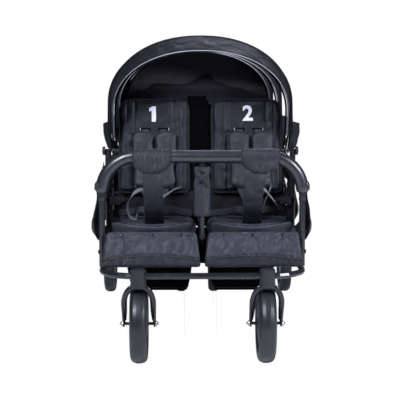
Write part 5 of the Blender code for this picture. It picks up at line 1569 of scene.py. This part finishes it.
def fittings():
    """Rivets, end caps and joint covers on the frame."""
    pieces = []
    collar = [(-0.007, 0.0100), (-0.0062, 0.0116), (0.0062, 0.0116), (0.007, 0.0100)]
    for row in ROWS:
        front_y, rear_y = bar_y(row), pivot(row).y
        for sign in (-1, 1):
            x = sign * BAR_X
            for y, z, r in ((front_y, RAIL_Z, 0.0075), (rear_y, RAIL_Z, 0.0075), (rear_y, HINGE_Z, 0.0080)):
                head = [(0.0085, r), (0.0108, r), (0.0128, r * 0.8), (0.0138, r * 0.4)]
                pieces.append(turned("rivet", head, (x, y, z), PLASTIC, 28, sign))
            pieces.append(lathe("collar", collar, (x, front_y, 0.515), PLASTIC, 32, axis="Z"))
    ride_joined("frame_rivets", pieces, "root", "tube")
    for side, sign in SIDES.items():
        x = sign * CASTER_X
        ring = lathe("ring", [(-0.0015, 0.0238), (-0.0015, 0.0252), (0.0025, 0.0256), (0.0065, 0.0252),
                              (0.0065, 0.0238)], (x, SWIVEL, 0.256), PLASTIC, 48, axis="Z")
        cap = turned("cap", [(-0.0005, 0.0238), (0.0025, 0.0240), (0.0050, 0.0215), (0.0062, 0.012)],
                     (x, SWIVEL, 0.305), PLASTIC, 48, axis="Z")
        ride_joined("caster_trim_" + side, [ring, cap], "root", "plastic")


def fork_blades():
    """The wide flattened legs of the two forks, over the tubes inside them."""
    for side in SIDES:
        lo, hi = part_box("fork_" + side)
        x, half = (lo[0] + hi[0]) / 2, 0.0450
        legs = [(half, FRONT_AXLE + 0.001, 0.139), (half, FRONT_AXLE - 0.018, 0.160),
                (half, SWIVEL + 0.015, 0.195), (half * 0.94, SWIVEL + 0.004, 0.222),
                (half * 0.70, SWIVEL, 0.243), (half * 0.36, SWIVEL, 0.2535)]
        points = [(x - a, y, z) for a, y, z in legs] + [(x + a, y, z) for a, y, z in reversed(legs)]
        blade = sweep("fork_blade_" + side, spaced(through(points, 8), 0.005, closed=False),
                      oval(0.0178, 0.0128, 20, 2.6), TUBE, side=(1, 0, 0.001), scale=lambda t: (
                          0.56 + 0.44 * min(1, min(t, 1 - t) / 0.16), 0.80 + 0.20 * sin(pi * t)))
        ride(blade, "caster_" + side, "tube")


def repaint():
    """The finishes of the CAD nodes that stay in view."""
    for name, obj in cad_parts.items():
        if obj.type == "MESH":
            mat = PLASTIC if "housing" in name else EDGING if "back_hoop" in name else TUBE
            for slot in obj.material_slots:
                slot.material = mat


# Floor, light and camera

COOL = (0.90, 0.94, 1.13)
WHITE = (1, 1, 1, 1)
FLOOR = {"Base Color": (0.93, 0.93, 0.93, 1), "Roughness": 0.9, "Specular IOR Level": 0.1}
FLOOR_HALF, FLOOR_Z = 30, -0.0006
FLOOR_GLOW = 0.994
SKY_LIGHT = 0.10
LENS, SENSOR = 106.06, 36
EYE = (-0.0678, -4.3651, 0.9623)
EYE_DOWN, EYE_RIGHT = radians(6.944), radians(0.937)
LAMPS = {
    "key": ((-1.7, -3.0, 3.2), (0, -0.3, 0.5), (1.0, 1.0), 142),
    "side": ((2.5, -2.2, 2.0), (0, -0.3, 0.5), (0.9, 0.9), 80),
    "top": ((0, 0.2, 3.8), (0, 0, 0.4), (2.0, 2.0), 9),
    "rear": ((0.6, 3.6, 2.6), (0, 0.2, 0.6), (2.0, 1.6), 45),
}


def studio():
    """A white floor and sky as the camera sees them, and plain soft light on the object."""
    mat = bpy.data.materials.new("floor_white")
    mat.use_nodes = True
    tree = mat.node_tree
    shader = tree.nodes["Principled BSDF"]
    for socket, value in FLOOR.items():
        shader.inputs[socket].default_value = value
    glow = add_node(tree, "Emission", {"Color": WHITE}).outputs["Emission"]
    seen = add_node(tree, "LightPath").outputs["Is Camera Ray"]
    share = add_node(tree, "Math", operation="MULTIPLY")
    tree.links.new(seen, share.inputs[0])
    share.inputs[1].default_value = FLOOR_GLOW
    blend = add_node(tree, "MixShader", {0: share.outputs["Value"], 1: shader.outputs["BSDF"], 2: glow})
    tree.links.new(blend.outputs["Shader"], tree.nodes["Material Output"].inputs["Surface"])
    corners = [(x * FLOOR_HALF, y * FLOOR_HALF, FLOOR_Z) for x, y in ((-1, -1), (1, -1), (1, 1), (-1, 1))]
    new_mesh("floor", corners, [(0, 1, 2, 3)], mat, smooth=False)

    world = bpy.data.worlds.new("studio")
    SCENE.world = world
    world.use_nodes = True
    tree = world.node_tree
    tree.nodes.clear()
    light = add_node(tree, "Background", {"Color": (*COOL, 1), "Strength": SKY_LIGHT})
    white = add_node(tree, "Background", {"Color": WHITE, "Strength": 1.0})
    seen = add_node(tree, "LightPath").outputs["Is Camera Ray"]
    skies = {1: light.outputs["Background"], 2: white.outputs["Background"]}
    mix = add_node(tree, "MixShader", {0: seen, **skies})
    add_node(tree, "OutputWorld", {"Surface": mix.outputs["Shader"]})

    for name, (place, target, size, power) in LAMPS.items():
        lamp = bpy.data.lights.new(name, "AREA")
        lamp.shape = "RECTANGLE"
        lamp.size, lamp.size_y = size
        lamp.energy = power
        lamp.color = COOL
        obj = add_object(name, lamp)
        obj.location = place
        obj.rotation_euler = (Vector(target) - Vector(place)).to_track_quat("-Z", "Y").to_euler()

    camera = bpy.data.cameras.new("camera")
    camera.lens = LENS
    camera.sensor_width = SENSOR
    camera.clip_end = 100
    eye = add_object("camera", camera)
    eye.location = EYE
    eye.rotation_euler = (pi / 2 - EYE_DOWN, 0, -EYE_RIGHT)
    SCENE.camera = eye
    SCENE.view_settings.view_transform = "Standard"


for build in (wheels, seats, backs, webs, loose_webbing, calf_rests, bars, centre_sleeves, hoods,
              rear_cloths, side_cloths, footwells, grip, fittings, fork_blades, repaint, studio):
    build()
